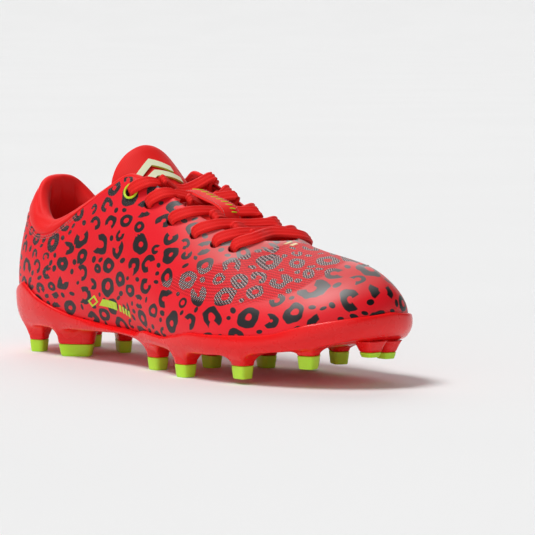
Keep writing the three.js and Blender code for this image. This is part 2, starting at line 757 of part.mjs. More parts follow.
// ---- Eyelet rings at the top of each eyestay ----
function eyeletRing({ at, normal }) {
  const profile = [[EYELET_HOLE / 2 + 0.3, 0.3], [RING_OUTER / 2 + 0.5, 0.3], [RING_OUTER / 2 + 0.5, 1.1],
    [EYELET_HOLE / 2 + 0.3, 1.1], [EYELET_HOLE / 2 + 0.3, 0.3]];
  const ring = new THREE.LatheGeometry(profile.map(([r, h]) => new THREE.Vector2(r, h)), 14);
  ring.applyQuaternion(new THREE.Quaternion().setFromUnitVectors(v(0, 1, 0), normal));
  return ring.translate(at.x, at.y, at.z);
}

// ---- Assembly ----
const shoe = new THREE.Group();

function addPiece(name, geometry, look) {
  const mesh = new THREE.Mesh(geometry, look);
  mesh.name = name;
  shoe.add(mesh);
}

addPiece("outsole_plate", outsolePlate(), material(RED, 0.35));
STUDS.forEach((stud) => addPiece(`stud_tip_${stud[0]}`, studTip(stud), material(LIME, 0.4)));
addPiece("lasting_board", lastingBoard(), material(0xd8d2c4, 0.9));
addPiece("sockliner", sockliner(), material(RED, 0.9));
addPiece("upper_shell", upperShell(), material(PRINT_RED, 0.5));
addPiece("heel_counter", heelCounter(), material(0xe6e2d8, 0.7));
addPiece("toe_puff", toePuff(), material(0xe6e2d8, 0.7));
addPiece("eyestay_reinforcement_lateral", eyestayReinforcement(false), material(0xd8d2c4, 0.9));
addPiece("eyestay_reinforcement_medial", eyestayReinforcement(true), material(0xd8d2c4, 0.9));
addPiece("vamp_lining", vampLining(), material(RED, 0.95));
addPiece("heel_lining", heelLining(), material(RED, 0.95));
addPiece("collar_panel", collarPanel(), material(RED, 0.8));
addPiece("collar_foam", collarFoam(), material(0xf0e8d8, 0.95));
addPiece("collar_lining", collarLining(), material(RED, 0.95));
const [baseFace, baseFoam, baseLining] = tongueLayers(79, HINGE_X + FOLD_GAP / 2, 9);
const [tipFace, tipFoam, tipLining] = tongueLayers(HINGE_X - FOLD_GAP / 2, -46, 4);
addPiece("tongue_base_face", baseFace, material(RED, 0.85));
addPiece("tongue_base_foam", baseFoam, material(0xf0e8d8, 0.95));
addPiece("tongue_base_lining", baseLining, material(RED, 0.95));
addPiece("tongue_tip_face", tipFace, material(RED, 0.85));
addPiece("tongue_tip_foam", tipFoam, material(0xf0e8d8, 0.95));
addPiece("tongue_tip_lining", tipLining, material(RED, 0.95));
addPiece("tongue_emblem", tongueEmblem(), material(0xf4ffe0, 0.4));
addPiece("lace_keeper", laceKeeper(), material(RED, 0.8));
addPiece("eyelet_ring_lateral", eyeletRing(eyelets[0][EYELETS.length - 1]), material(0xc8e632, 0.35));
addPiece("eyelet_ring_medial", eyeletRing(eyelets[1][EYELETS.length - 1]), material(0xc8e632, 0.35));
addPiece("lace", lace(), material(RED, 0.85));
addPiece("aglet_lateral", aglet(false), material(RED, 0.3));
addPiece("aglet_medial", aglet(true), material(RED, 0.3));
shoe.position.copy(MIDDLE).negate();

export default shoe;
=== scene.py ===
"""The looks of a right-foot soccer cleat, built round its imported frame.

Shapes are worked out in millimetres on the surface of the last and turned into the frame's metres as each
mesh is made. +X runs to the toe, +Y to the medial side, +Z up.
"""
import math

import bmesh
import bpy
import numpy as np
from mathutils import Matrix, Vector


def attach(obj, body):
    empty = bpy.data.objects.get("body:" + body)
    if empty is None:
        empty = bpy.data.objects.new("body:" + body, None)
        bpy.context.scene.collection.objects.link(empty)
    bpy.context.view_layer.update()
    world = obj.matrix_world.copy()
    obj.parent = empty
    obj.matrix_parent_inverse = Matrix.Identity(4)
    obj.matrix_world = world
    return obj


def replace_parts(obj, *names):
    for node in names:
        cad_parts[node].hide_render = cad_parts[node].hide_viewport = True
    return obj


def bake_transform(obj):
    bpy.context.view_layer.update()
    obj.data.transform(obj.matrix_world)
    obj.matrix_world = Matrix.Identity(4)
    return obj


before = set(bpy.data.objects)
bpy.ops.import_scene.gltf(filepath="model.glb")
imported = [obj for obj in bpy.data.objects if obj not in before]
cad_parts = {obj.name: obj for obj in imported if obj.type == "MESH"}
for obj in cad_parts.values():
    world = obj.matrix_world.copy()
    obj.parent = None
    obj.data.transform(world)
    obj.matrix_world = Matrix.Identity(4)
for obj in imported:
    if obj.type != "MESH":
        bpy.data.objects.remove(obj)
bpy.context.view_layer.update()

MM = 0.001
MIDDLE = np.array([0, 0.15, 0])  # from the frame of the last to the row's frame, in mm
SEED = 7

# ---- Sizes, in mm ----
SHELL = 1.2  # printed upper
LINING_OUT = -1.6
LINING_IN = -2.9
HEEL_LINING_MORE = 2.4  # the lining is thicker at the heel, where it covers the counter
COLLAR_HALF = 3.4  # half the thickness of the padded collar
COLLAR_HALF_THIN = 1.3  # and of its ends beside the throat
PLATE = 3.0
STUD_TIP = 6.4
SOCKLINER_TOP = 4.9  # above the feather edge
SOCKLINER_INSET = 4.6
HINGE_X = -26
EYELET_MARGIN = 9.8
EYELET_RADIUS = 3.3
RING_RADIUS = 3.9
LACE_WIDTH = 6.6
LACE_THICK = 2.2
LACE_PITCH = 0.9
TONGUE_THICK = 4.6
BAND_WIDTH = 12
STITCH_PITCH = 2.2
STITCH_RADIUS = 0.28
SPOT_SIZE = 9.7
SPOT_TRIES = 7000
KNIT_PITCH = 1.5
KNIT_WAVE = 0.7

# ---- Cloth simulation ----
CLOTH_STEPS = 16
PRESSURE = 45
CLOTH_MASS = 0.02
COLLAR_SWELL = 1.4
TONGUE_SWELL = 0.6
FREE_FROM = 0.02  # a point with a smaller share of the move is pinned

# ---- The last: fourteen stations from the back of the heel to the tip of the toe ----
VAMP = 9  # station where the throat ends
TOE = 13
LOOP = 2 * TOE  # a walk round the shoe, out along the lateral side and back along the medial side
FOOT_LATERAL = [
    (-132.5, 0), (-120, -20), (-98, -26.5), (-70, -27.5), (-38, -28), (-21, -29), (-4, -32),
    (26, -38.5), (58, -40.5), (84, -36.5), (105, -29), (119, -19), (128.5, -6), (132, 8),
]
FOOT_MEDIAL = [
    (-132.5, 0), (-120, 19), (-99, 25), (-72, 25), (-42, 23), (-22, 23), (-6, 25.5),
    (26, 36), (58, 40), (84, 39.5), (106, 36.5), (120, 30), (129, 20.5), (132, 8),
]
TOP = [
    (-117, 0, 95.6), (-114.5, -14, 92), (-96, -25.5, 73), (-72, -27.5, 77.5), (-40, -25, 93),
    (-28, -21.5, 99.4), (-13, -19.8, 94.6), (22, -18, 79), (54, -14, 69.3), (70, 3, 68.3),
    (84, 5, 64.6), (96, 6.5, 62.2), (107, 7.5, 60.2), (115, 8.5, 58.2),
]
TOP_MIDDLE = [0, 0, -0.6, -1, 0, 0, 0, 1, 2, 3, 5, 6.5, 7.5, 8.5]
LEAVE = [
    (8, 20), (8, 19), (8, 14), (8, 14), (9, 15), (10, 16), (11, 16), (10, 13), (10, 12), (9, 12),
    (10, 12), (11, 13), (11, 14), (10, 15),
]
MEET = [
    (11, 20), (9, 22), (8, 20), (9, 24), (12, 30), (15, 27), (16, 24), (19, 13), (19, 5), (20, 2),
    (17, 1), (15, 0.5), (13, 0), (12, 0),
]
UNDERSIDE = [
    (-140, 16), (-100, 15), (-60, 15.5), (-30, 16.5), (0, 14.5), (30, 13), (55, 13.2), (80, 15),
    (100, 17.5), (118, 21), (130, 24.5), (140, 28),
]
# Where the collar's seam lies (station, height), and the height of the outsole's rim (station, z).
COLLAR_SEAM = [
    (0, 0.74), (0.8, 0.75), (1.4, 0.77), (2.1, 0.86), (2.65, 0.88), (3.0, 0.915), (3.3, 0.95), (3.6, 0.965),
    (5.6, 0.97), (5.8, 1),
]
RIM_HEEL = [(0, 31.5), (0.6, 32), (1.1, 33.5), (1.6, 38.4), (1.8, 36.1), (2.2, 30.8), (2.7, 26.2)]
RIM_BALL = [(7.3, 21.6), (7.6, 23.8), (8, 23.6), (9, 24.6)]
RIM_TOE = [(10.4, 31), (11.1, 33.2), (11.8, 35), (12.9, 36.8), (13, 37)]
RIM_LATERAL = [
    *RIM_HEEL, (3.1, 23.2), (3.6, 21.3), (4.3, 19.3), (5.3, 18.4), (5.8, 19.4), (6.15, 20.8), (6.5, 20),
    (6.85, 19.4), *RIM_BALL, (9.5, 25.9), *RIM_TOE,
]
RIM_MEDIAL = [
    *RIM_HEEL, (3.1, 23.6), (3.6, 22), (4.3, 20.8), (5.3, 20), (6.1, 21.5), (6.85, 20.5), *RIM_BALL,
    (9.5, 26.5), *RIM_TOE,
]
# Studs: name, middle, length, width, turn in degrees, height of the end above the ground.
STUDS = [
    ("heel_lateral_rear", -110, -18.5, 9, 8, 20, 0),
    ("heel_lateral_front", -78, -18, 19, 8, 38, 0),
    ("heel_medial_rear", -110, 18.5, 9, 8, -20, 0),
    ("heel_medial_front", -79, 14.5, 19, 8, -30, 0),
    ("arch_lateral", -1, -25.5, 9.4, 9, 0, 0),
    ("ball_lateral_rear", 33, -35.5, 9.5, 9, 0, 0),
    ("ball_lateral_front", 74, -33.5, 9.5, 9, 0, 2.6),
    ("toe_lateral", 107, -20, 9.5, 9, 15, 9.2),
    ("ball_centre", 10, 1, 10, 8.5, 0, 0),
    ("ball_medial_rear", 27, 23, 14, 8.5, -20, 0),
    ("ball_medial_middle", 50, 32, 15, 8.5, -20, 2),
    ("ball_medial_front", 75, 29.5, 11, 8.5, -20, 5.3),
    ("toe_medial", 120.5, 18.5, 9, 8, 0, 12.6),
    ("toe_tip", 124.5, 4.5, 8.5, 9, 0, 14.6),
]
SHORT_TIPS = {"toe_tip": 2.4, "toe_medial": 3.2}  # lime heights of the two that grow out of the plate's toe
EYELETS = [8.02, 7.64, 7.2, 6.7, 6.18, 5.5]  # stations along the throat, from its bottom to its top


# ---- Curves and the surface of the last ----
def along(pairs, x):
    pairs = np.asarray(pairs, float)
    return np.interp(x, pairs[:, 0], pairs[:, 1])


def smooth(low, high, x):
    t = np.clip((np.asarray(x, float) - low) / (high - low), 0, 1)
    return t * t * (3 - 2 * t)


def unit(vectors):
    return vectors / np.linalg.norm(vectors, axis=-1)[..., None]


def circle(count):
    """So many angles, evenly round a circle."""
    return np.linspace(0, 2 * math.pi, count, endpoint=False)


def squarish(values, power):
    """Sines or cosines bent so that they draw a rounded box: the lower the power, the squarer."""
    return np.sign(values) * np.abs(values) ** power


def level_all(s, height):
    """The same number for every place in s."""
    return np.full(len(s), float(height))


def underside(x):
    return along(UNDERSIDE, x)


def feather_height(x):
    return underside(x) + PLATE + 0.5


def catmull(points, t, closed):
    """A uniform Catmull-Rom curve through points, read at t, which counts points."""
    points = np.asarray(points, float)
    n = len(points)
    t = np.asarray(t, float)
    if closed:
        t = t % n
        i = np.floor(t).astype(int)
        a, b, c, d = (points[(i + k) % n] for k in (-1, 0, 1, 2))
    else:
        i = np.clip(np.floor(t).astype(int), 0, n - 2)
        padded = np.vstack([2 * points[0] - points[1], points, 2 * points[-1] - points[-2]])
        a, b, c, d = (padded[i + k] for k in (0, 1, 2, 3))
    f = (t - i)[..., None]
    return b + 0.5 * f * (c - a + f * (2 * a - 5 * b + 4 * c - d + f * (3 * (b - c) + d - a)))


def station_of(s):
    s = np.asarray(s, float) % LOOP
    return np.where(s > TOE, LOOP - s, s)


def side_of(s):
    """-1 on the lateral side, +1 on the medial side."""
    return np.where(np.asarray(s, float) % LOOP > TOE, 1.0, -1.0)


def foot_point(k):
    x, y = FOOT_LATERAL[k] if k <= TOE else FOOT_MEDIAL[LOOP - k]
    return np.array([x, y, feather_height(x)])


def top_point(k):
    p = k if k <= TOE else LOOP - k
    x, y, z = TOP[p]
    return np.array([x, y if k <= TOE else 2 * TOP_MIDDLE[p] - y, z])


def out_and_up(pairs):
    """For each station round the shoe, a step out of the last, and a step up."""
    steps = np.array([pairs[p] for p in ORDER], float)
    return OUT * steps[:, :1], np.array([0, 0, 1]) * steps[:, 1:]


FOOT = np.array([foot_point(k) for k in range(LOOP)])
STEP = np.roll(FOOT, -1, 0) - np.roll(FOOT, 1, 0)
OUT = unit(np.stack([STEP[:, 1], -STEP[:, 0], 0 * STEP[:, 0]], 1))
ORDER = [k if k <= TOE else LOOP - k for k in range(LOOP)]
TOPS = np.array([top_point(k) for k in range(LOOP)])
LEAVE_OUT, LEAVE_UP = out_and_up(LEAVE)
LEAVE_POINTS = FOOT + LEAVE_OUT + LEAVE_UP
MEET_OUT, MEET_DOWN = out_and_up(MEET)
MEET_POINTS = TOPS + MEET_OUT - MEET_DOWN
OPENING = TOPS[[k for k in range(LOOP) if ORDER[k] <= VAMP and k != LOOP - VAMP]]


def top_edge(s):
    p, side = station_of(s), side_of(s)
    ridge = catmull(TOPS[VAMP:TOE + 1], np.clip(p - VAMP, 0, TOE - VAMP), False)
    step = np.where(side > 0, (2 * VAMP - p) % (2 * VAMP), p)
    opening = catmull(OPENING, step, True)
    return np.where((p > VAMP)[..., None], ridge, opening)


def last_point(s, u):
    """A point of the last: s walks round the shoe, u climbs from the feather edge to the top."""
    s, u = np.broadcast_arrays(np.asarray(s, float), np.asarray(u, float))
    s = s % LOOP
    a, b, c = (catmull(points, s, True) for points in (FOOT, LEAVE_POINTS, MEET_POINTS))
    d = top_edge(s)
    u = u[..., None]
    return a * (1 - u) ** 3 + 3 * b * u * (1 - u) ** 2 + 3 * c * u * u * (1 - u) + d * u ** 3


RIDGE_END = 11.5  # station past which the last closes to a point at its top


def last_normal(s, u):
    h = 0.01
    s, u = np.broadcast_arrays(np.asarray(s, float), np.asarray(u, float))
    u = np.minimum(u, np.where(station_of(s) > RIDGE_END, 0.96, 1))
    round_step = last_point(s + h, u) - last_point(s - h, u)
    up_step = last_point(s, np.minimum(u + h, 1)) - last_point(s, np.maximum(u - h, 0))
    return unit(np.cross(round_step, up_step))


def wall(s, u, offset):
    """A point at an offset out of the last."""
    return last_point(s, u) + last_normal(s, u) * np.asarray(offset, float)[..., None]


def inward_edge(s, inset):
    """The feather edge moved level into the foot."""
    h = 0.01
    tangent = catmull(FOOT, s + h, True) - catmull(FOOT, s - h, True)
    level = unit(np.stack([-tangent[..., 1], tangent[..., 0], 0 * tangent[..., 0]], -1))
    return catmull(FOOT, s, True) + level * np.asarray(inset, float)[..., None]


SPINE_SHARE = 0.86  # of the last's length


def spine_point(s):
    """The foot's middle line, between the lateral and the medial edge."""
    p = station_of(s)
    both = (catmull(FOOT, p, True) + catmull(FOOT, (LOOP - p) % LOOP, True)) / 2
    return both * [SPINE_SHARE, 1, 1]


def height_on_last(s, wanted):
    """How far up the last each wanted height lies."""
    us = np.linspace(0, 0.9, 200)
    z = last_point(s[:, None], us[None, :])[..., 2]
    return np.array([np.interp(w, row, us) for w, row in zip(wanted, z)])


# ---- Meshes ----
def loft(ribs, around=False, ring=False, caps=False, skip=None):
    """Faces between neighbouring ribs (n, k, 3): closed round the ribs, or round each rib, if asked."""
    n, k = ribs.shape[:2]
    faces = []
    for i in range(n if around else n - 1):
        for j in range(k if ring else k - 1):
            if skip and skip(i, j):
                continue
            i2, j2 = (i + 1) % n, (j + 1) % k
            faces.append((i * k + j, i2 * k + j, i2 * k + j2, i * k + j2))
    if caps:
        faces.append(tuple(range(k)))
        faces.append(tuple((n - 1) * k + j for j in range(k))[::-1])
    return ribs.reshape(-1, 3), faces


def place_in_scene(name, data):
    obj = bpy.data.objects.new(name, data)
    bpy.context.scene.collection.objects.link(obj)
    return obj


def turned(shape):
    """A shape of points and faces with its faces turned over."""
    points, faces = shape
    return points, [face[::-1] for face in faces]


def metres(point):
    """A place on the last, in the frame's metres."""
    return (point + MIDDLE) * MM


def make(name, shape, body, material, merge=0.0, fields=None):
    """An object out of points and faces. Points closer together than merge, in mm, become one."""
    points, faces = shape
    data = bpy.data.meshes.new(name)
    data.from_pydata(metres(points), [], faces)
    for field, values in (fields or {}).items():
        attribute = data.attributes.new(field, "FLOAT", "POINT")
        attribute.data.foreach_set("value", np.asarray(values, np.float32).ravel())
    if merge:
        mesh = bmesh.new()
        mesh.from_mesh(data)
        bmesh.ops.remove_doubles(mesh, verts=mesh.verts, dist=merge * MM)
        bmesh.ops.recalc_face_normals(mesh, faces=mesh.faces)
        mesh.to_mesh(data)
        mesh.free()
    data.polygons.foreach_set("use_smooth", [True] * len(data.polygons))
    data.materials.append(MATERIALS[material])
    data.update()
    obj = place_in_scene(name, data)
    if body:
        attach(obj, body)
    return obj


def joined(parts):
    """One list of points and faces out of several."""
    points, faces, count = [], [], 0
    for more, polygons in parts:
        points.append(more)
        faces += [tuple(count + i for i in polygon) for polygon in polygons]
        count += len(more)
    return np.vstack(points), faces


def inflate(piece, free, longest):
    """Swells a padded piece by a short cloth simulation, whose result it keeps.

    free gives each point's share of the move, from its place in mm. longest is the furthest move, in mm.
    """
    points = piece.data.vertices
    before = np.zeros(len(points) * 3)
    points.foreach_get("co", before)
    share = free(before.reshape(-1, 3) / MM - MIDDLE)
    held = piece.vertex_groups.new(name="held")
    held.add(np.flatnonzero(share < FREE_FROM).tolist(), 1.0, "REPLACE")
    cloth = piece.modifiers.new("cloth", "CLOTH")
    cloth.settings.vertex_group_mass = "held"
    cloth.settings.mass = CLOTH_MASS
    cloth.settings.use_pressure = True
    cloth.settings.uniform_pressure_force = PRESSURE
    cloth.settings.effector_weights.gravity = 0
    cloth.collision_settings.use_collision = False
    for step in range(1, CLOTH_STEPS + 1):
        bpy.context.scene.frame_set(step)
    shaped = piece.evaluated_get(bpy.context.evaluated_depsgraph_get())
    after = np.zeros_like(before)
    shaped.data.vertices.foreach_get("co", after)
    piece.modifiers.remove(cloth)
    piece.vertex_groups.remove(held)
    bpy.context.scene.frame_set(1)
    move = (after - before).reshape(-1, 3) / MM
    length = np.linalg.norm(move, axis=1)
    move *= (share * np.minimum(length, longest) / np.maximum(length, 1e-6))[:, None]
    points.foreach_set("co", before + move.ravel() * MM)
    piece.data.update()


# ---- Material graphs ----
def linear(red, green, blue):
    """A screen colour, 0 to 255, as a linear colour with alpha."""
    values = [c / 255 for c in (red, green, blue)]
    return [c / 12.92 if c <= 0.04045 else ((c + 0.055) / 1.055) ** 2.4 for c in values] + [1]


class Graph:
    """A small builder for a node material."""

    def __init__(self, name, **settings):
        self.material = bpy.data.materials.new(name)
        self.material.use_nodes = True
        self.tree = self.material.node_tree
        self.shader = self.tree.nodes["Principled BSDF"]
        for socket, value in settings.items():
            self.shader.inputs[socket.replace("_", " ")].default_value = value
        self.place = self.tree.nodes.new("ShaderNodeTexCoord").outputs["Object"]

    def put(self, socket, value):
        if isinstance(value, bpy.types.NodeSocket):
            self.tree.links.new(value, socket)
        else:
            socket.default_value = value

    def node(self, kind, inputs, output=0, **options):
        node = self.tree.nodes.new(kind)
        for option, value in options.items():
            setattr(node, option, value)
        for socket, value in inputs.items():
            self.put(node.inputs[socket], value)
        return node.outputs[output]

    def math(self, operation, a, b=0.0, c=0.0, clamp=False):
        return self.node("ShaderNodeMath", {0: a, 1: b, 2: c}, operation=operation, use_clamp=clamp)

    def vector(self, operation, a, b=(0, 0, 0), output=0):
        return self.node("ShaderNodeVectorMath", {0: a, 1: b}, output, operation=operation)

    def plus(self, a, b):
        return self.math("ADD", a, b)

    def less(self, a, b, clamp=False):
        return self.math("SUBTRACT", a, b, clamp=clamp)

    def times(self, a, b):
        return self.math("MULTIPLY", a, b)

    def field(self, name, output="Fac"):
        return self.node("ShaderNodeAttribute", {}, output, attribute_name=name)

    def line(self, a, slope, start):
        return self.math("MULTIPLY_ADD", a, slope, start)

    def size(self, a):
        return self.math("ABSOLUTE", a)

    def wave(self, a, period):
        return self.math("SINE", self.times(a, 2 * math.pi / period))

    def dot(self, a, name):
        """The dot product with a vector field."""
        return self.vector("DOT_PRODUCT", a, self.field(name, "Vector"), "Value")

    def parts(self, name):
        """The three numbers of a vector field."""
        return self.node("ShaderNodeSeparateXYZ", {0: self.field(name, "Vector")}).node.outputs

    def noise(self, scale, detail=2.0, roughness=0.5):
        inputs = {"Vector": self.place, "Scale": scale, "Detail": detail, "Roughness": roughness}
        return self.node("ShaderNodeTexNoise", inputs, "Fac")

    def cells(self, scale):
        return self.node("ShaderNodeTexVoronoi", {"Vector": self.place, "Scale": scale}, "Distance")

    def between(self, value, low, high, start=0.0, end=1.0):
        inputs = {"Value": value, "From Min": low, "From Max": high, "To Min": start, "To Max": end}
        return self.node("ShaderNodeMapRange", inputs, clamp=True)

    def mix(self, factor, a, b):
        """Colour a, or b where the factor is 1."""
        node = self.tree.nodes.new("ShaderNodeMix")
        node.data_type = "RGBA"
        for socket, value in ((0, factor), (6, a), (7, b)):
            self.put(node.inputs[socket], value)
        return node.outputs[2]

    def patchy(self, pattern, dark, light, low=0.3, high=0.7):
        """From a dark to a light screen colour, as a pattern climbs from low to high."""
        return self.mix(self.between(pattern, low, high), linear(*dark), linear(*light))

    def axis(self, name):
        return self.node("ShaderNodeSeparateXYZ", {0: self.place}, "XYZ".index(name))

    def bump(self, height, strength, distance, onto=None):
        inputs = {"Height": height, "Strength": strength, "Distance": distance}
        if onto:
            inputs["Normal"] = onto
        return self.node("ShaderNodeBump", inputs)

    def finish(self, colour=None, roughness=None, normal=None):
        for socket, value in (("Base Color", colour), ("Roughness", roughness), ("Normal", normal)):
            if value is not None:
                self.put(self.shader.inputs[socket], value)
        return self.material


def knit_rows(g):
    """Zigzag rows that follow the throat's edge, 0 in a furrow and 1 on a rib, and dashes along them."""
    x = g.axis("X")
    bend = g.times(g.math("PINGPONG", x, KNIT_WAVE * MM), KNIT_WAVE / MM)
    phase = g.math("DIVIDE", g.plus(g.field("girth"), bend), KNIT_PITCH)
    row = g.wave(phase, 1)
    step = g.wave(x, 2 * KNIT_WAVE * MM)
    return g.line(row, 0.5, 0.5), g.times(row, step)


def weave(g, spacing):
    """A fine plain weave, from three crossed waves."""
    waves = [g.wave(g.axis(name), spacing) for name in "XYZ"]
    both = g.times(g.plus(waves[0], waves[1]), g.plus(waves[2], 1.2))
    return g.line(both, 0.2, 0.5)


def printed_spot(g):
    """1 inside the spot that each face belongs to: a ring, part of a ring, or a dot."""
    long_radius, wide_radius, gap_from = g.parts("spot_shape")
    band_middle, band_half, both_ends = g.parts("spot_band")
    offset = g.vector("SUBTRACT", g.place, g.field("spot_centre", "Vector"))
    length = g.vector("LENGTH", offset, output="Value")
    forward = g.dot(offset, "spot_axis")
    aside_squared = g.math("MAXIMUM", g.less(g.math("POWER", length, 2), g.math("POWER", forward, 2)), 0)
    long_part = g.math("POWER", g.math("DIVIDE", forward, long_radius), 2)
    wide_part = g.math("DIVIDE", aside_squared, g.math("POWER", wide_radius, 2))
    wobble = g.less(g.noise(190, 0.4), 0.5)
    reach = g.line(wobble, 0.6, g.math("SQRT", g.plus(long_part, wide_part)))
    thick = g.line(g.less(g.noise(140, 1), 0.5), 0.35, band_half)
    ring = g.between(g.less(thick, g.size(g.less(reach, band_middle))), -0.03, 0.03)
    turn = g.math("DIVIDE", g.dot(offset, "spot_gap"), length)
    mirrored = g.times(g.less(g.size(turn), turn), both_ends)
    turn = g.plus(g.plus(turn, mirrored), g.times(wobble, 0.25))
    return g.times(ring, g.between(g.less(gap_from, turn), -0.04, 0.04))


def printed_upper():
    """Coated red synthetic with a dark print, knitted over the vamp and glossier at the toe, with a painted
    sheen that greys the forefoot's upward faces.
    """
    g = Graph("printed_upper", Specular_IOR_Level=0.32, Coat_Weight=0.03, Coat_Roughness=0.25)
    knit, stay, toe, painted_sheen = (g.field(name) for name in ("knit", "stay", "toe", "painted_sheen"))
    spot = printed_spot(g)
    ribs, dashes = knit_rows(g)
    blush = g.noise(24, 3)

    red = g.patchy(blush, (236, 22, 36), (246, 34, 48))
    red = g.mix(g.times(toe, 0.8), red, linear(226, 10, 28))
    furrow = g.times(g.less(1, ribs), g.times(knit, 0.7))
    red = g.mix(furrow, red, linear(176, 8, 18))
    # painted sheen: the red greyed towards pink on the forefoot's upward faces, standing in for a reflection
    # of overhead light
    red = g.mix(g.times(painted_sheen, 0.42), red, linear(196, 150, 146))

    ink = g.mix(toe, linear(40, 39, 41), linear(9, 8, 10))
    # painted sheen: the ink lightened to grey on the same upward faces, standing in for a reflection of
    # overhead light
    ink = g.mix(g.times(painted_sheen, 0.75), ink, linear(158, 154, 152))
    speckle = g.times(g.between(g.noise(2600, 1), 0.57, 0.66), g.times(g.field("speckle"), 0.55))
    ink = g.mix(speckle, ink, linear(170, 160, 160))
    dash = g.times(g.between(dashes, 0.36, 0.56), knit)
    ink = g.mix(g.times(dash, 0.95), ink, linear(240, 234, 232))
    broken = g.times(g.times(knit, g.between(ribs, 0.14, 0.05)), 0.6)
    painted = g.times(spot, g.less(1, broken))

    rough = 0.47
    changes = ((stay, -0.03), (toe, -0.07), (knit, 0.1), (painted, -0.06), (g.less(blush, 0.5), 0.12))
    for where, more in changes:
        rough = g.line(where, more, rough)
    plain = g.less(1, g.math("MAXIMUM", g.math("MAXIMUM", stay, toe), knit), clamp=True)
    normal = g.bump(g.times(g.cells(900), plain), 0.35, 0.00012)
    normal = g.bump(g.times(ribs, knit), 0.6, 0.0003, normal)
    normal = g.bump(painted, 0.25, 0.00008, normal)
    normal = g.bump(g.noise(60, 2), 0.15, 0.0004, normal)
    return g.finish(g.mix(painted, red, ink), rough, normal)


def fine_knit(name, patches, spacing, tones, shade, share, grain, pucker, rough):
    """A matt red fabric, slightly patchy and puckered, whose threads darken by a share towards a shade."""
    g = Graph(name, Sheen_Weight=0.12, Sheen_Roughness=0.4, Specular_IOR_Level=0.25)
    tone = g.noise(patches, 3)
    threads = weave(g, spacing)
    colour = g.mix(g.times(threads, share), g.patchy(tone, *tones), linear(*shade))
    normal = g.bump(threads, *grain)
    normal = g.bump(g.noise(pucker[0], 2), *pucker[1:], normal)
    return g.finish(colour, g.between(tone, 0.2, 0.8, *rough), normal)


def collar_satin():
    return fine_knit("collar_satin", 30, 0.0007, ((240, 20, 20), (250, 30, 28)), (206, 8, 12), 0.12,
                     (0.25, 0.0001), (55, 0.3, 0.0008), (0.5, 0.62))


def tongue_knit():
    return fine_knit("tongue_knit", 26, 0.0008, ((238, 22, 18), (248, 32, 28)), (200, 10, 12), 0.15,
                     (0.3, 0.00012), (70, 0.35, 0.0009), (0.52, 0.68))


def mesh_lining():
    g = Graph("lining_mesh", Sheen_Weight=0.05, Specular_IOR_Level=0.2)
    cells = g.cells(620)
    colour = g.patchy(cells, (150, 8, 12), (214, 18, 20), 0.15, 0.6)
    return g.finish(colour, g.between(g.noise(80), 0.3, 0.7, 0.75, 0.92), g.bump(cells, 0.5, 0.0004))


def lace_weave():
    """A flat plait: strands along the lace, crossed by short steps."""
    g = Graph("lace_weave", Sheen_Weight=0.03, Specular_IOR_Level=0.25)
    steps = g.wave(g.field("run"), 1.1)
    strands = g.wave(g.field("across"), 1 / 3.5)
    plait = g.line(g.times(steps, strands), 0.5, 0.5)
    tone = g.noise(90, 2)
    crest = g.between(g.size(strands), 0.0, 0.45)
    colour = g.patchy(tone, (248, 24, 20), (255, 38, 30))
    colour = g.mix(g.times(plait, 0.35), colour, linear(206, 8, 14))
    colour = g.mix(g.times(g.less(1, crest), 0.5), colour, linear(160, 4, 10))
    return g.finish(colour, g.between(tone, 0.2, 0.8, 0.6, 0.75), g.bump(plait, 0.5, 0.00025))


def moulded(name, dark, light, roughness, scuff=0.5):
    """Glossy moulded plastic with faint flow marks and scuffs."""
    g = Graph(name, Specular_IOR_Level=0.35, Coat_Weight=0.08, Coat_Roughness=0.1)
    flow = g.noise(18, 4)
    worn = g.times(g.between(g.noise(220, 5, 0.7), 0.6, 0.72), scuff * 0.25)
    colour = g.mix(worn, g.patchy(flow, dark, light, 0.25, 0.75), linear(*[min(255, c + 40) for c in light]))
    rough = g.line(g.between(g.noise(120, 3), 0.3, 0.7), 0.12, roughness)
    normal = g.bump(flow, 0.05, 0.0008)
    return g.finish(colour, rough, g.bump(g.noise(900, 2), 0.04, 0.00006, normal))


def fibrous(name, colour, darker, pattern, low, high, rough, bump, **settings):
    """One colour, darker between its fibres."""
    g = Graph(name, **settings)
    fibres = g.noise(*pattern)
    light = linear(*colour)
    dark = [darker * c for c in light[:3]] + [1]
    return g.finish(g.mix(g.between(fibres, low, high), dark, light), rough, g.bump(fibres, *bump))


def thread(name, colour):
    return fibrous(name, colour, 0.6, (1500, 1), 0.35, 0.65, 0.7, (0.4, 0.0001), Sheen_Weight=0.2)


def fibre_board(name, colour):
    return fibrous(name, colour, 0.75, (420, 5, 0.7), 0.3, 0.7, 0.9, (0.4, 0.0003))


def badge_foil():
    """A badge's foil: lime, fading to near white towards its top."""
    g = Graph("badge_foil", Coat_Weight=0.3)
    rise = g.plus(g.between(g.field("rise"), 0, 1), g.times(g.less(g.noise(300), 0.5), 0.1))
    colour = g.mix(rise, linear(196, 226, 60), linear(250, 252, 236))
    return g.finish(colour, g.between(g.noise(200), 0.3, 0.7, 0.3, 0.42), g.bump(g.noise(900), 0.1, 0.0001))


def stage_paper():
    g = Graph("stage_paper", Roughness=0.85, Specular_IOR_Level=0.2)
    return g.finish(g.patchy(g.noise(3, 2), (238, 238, 238), (239, 239, 239), 0.4, 0.6))


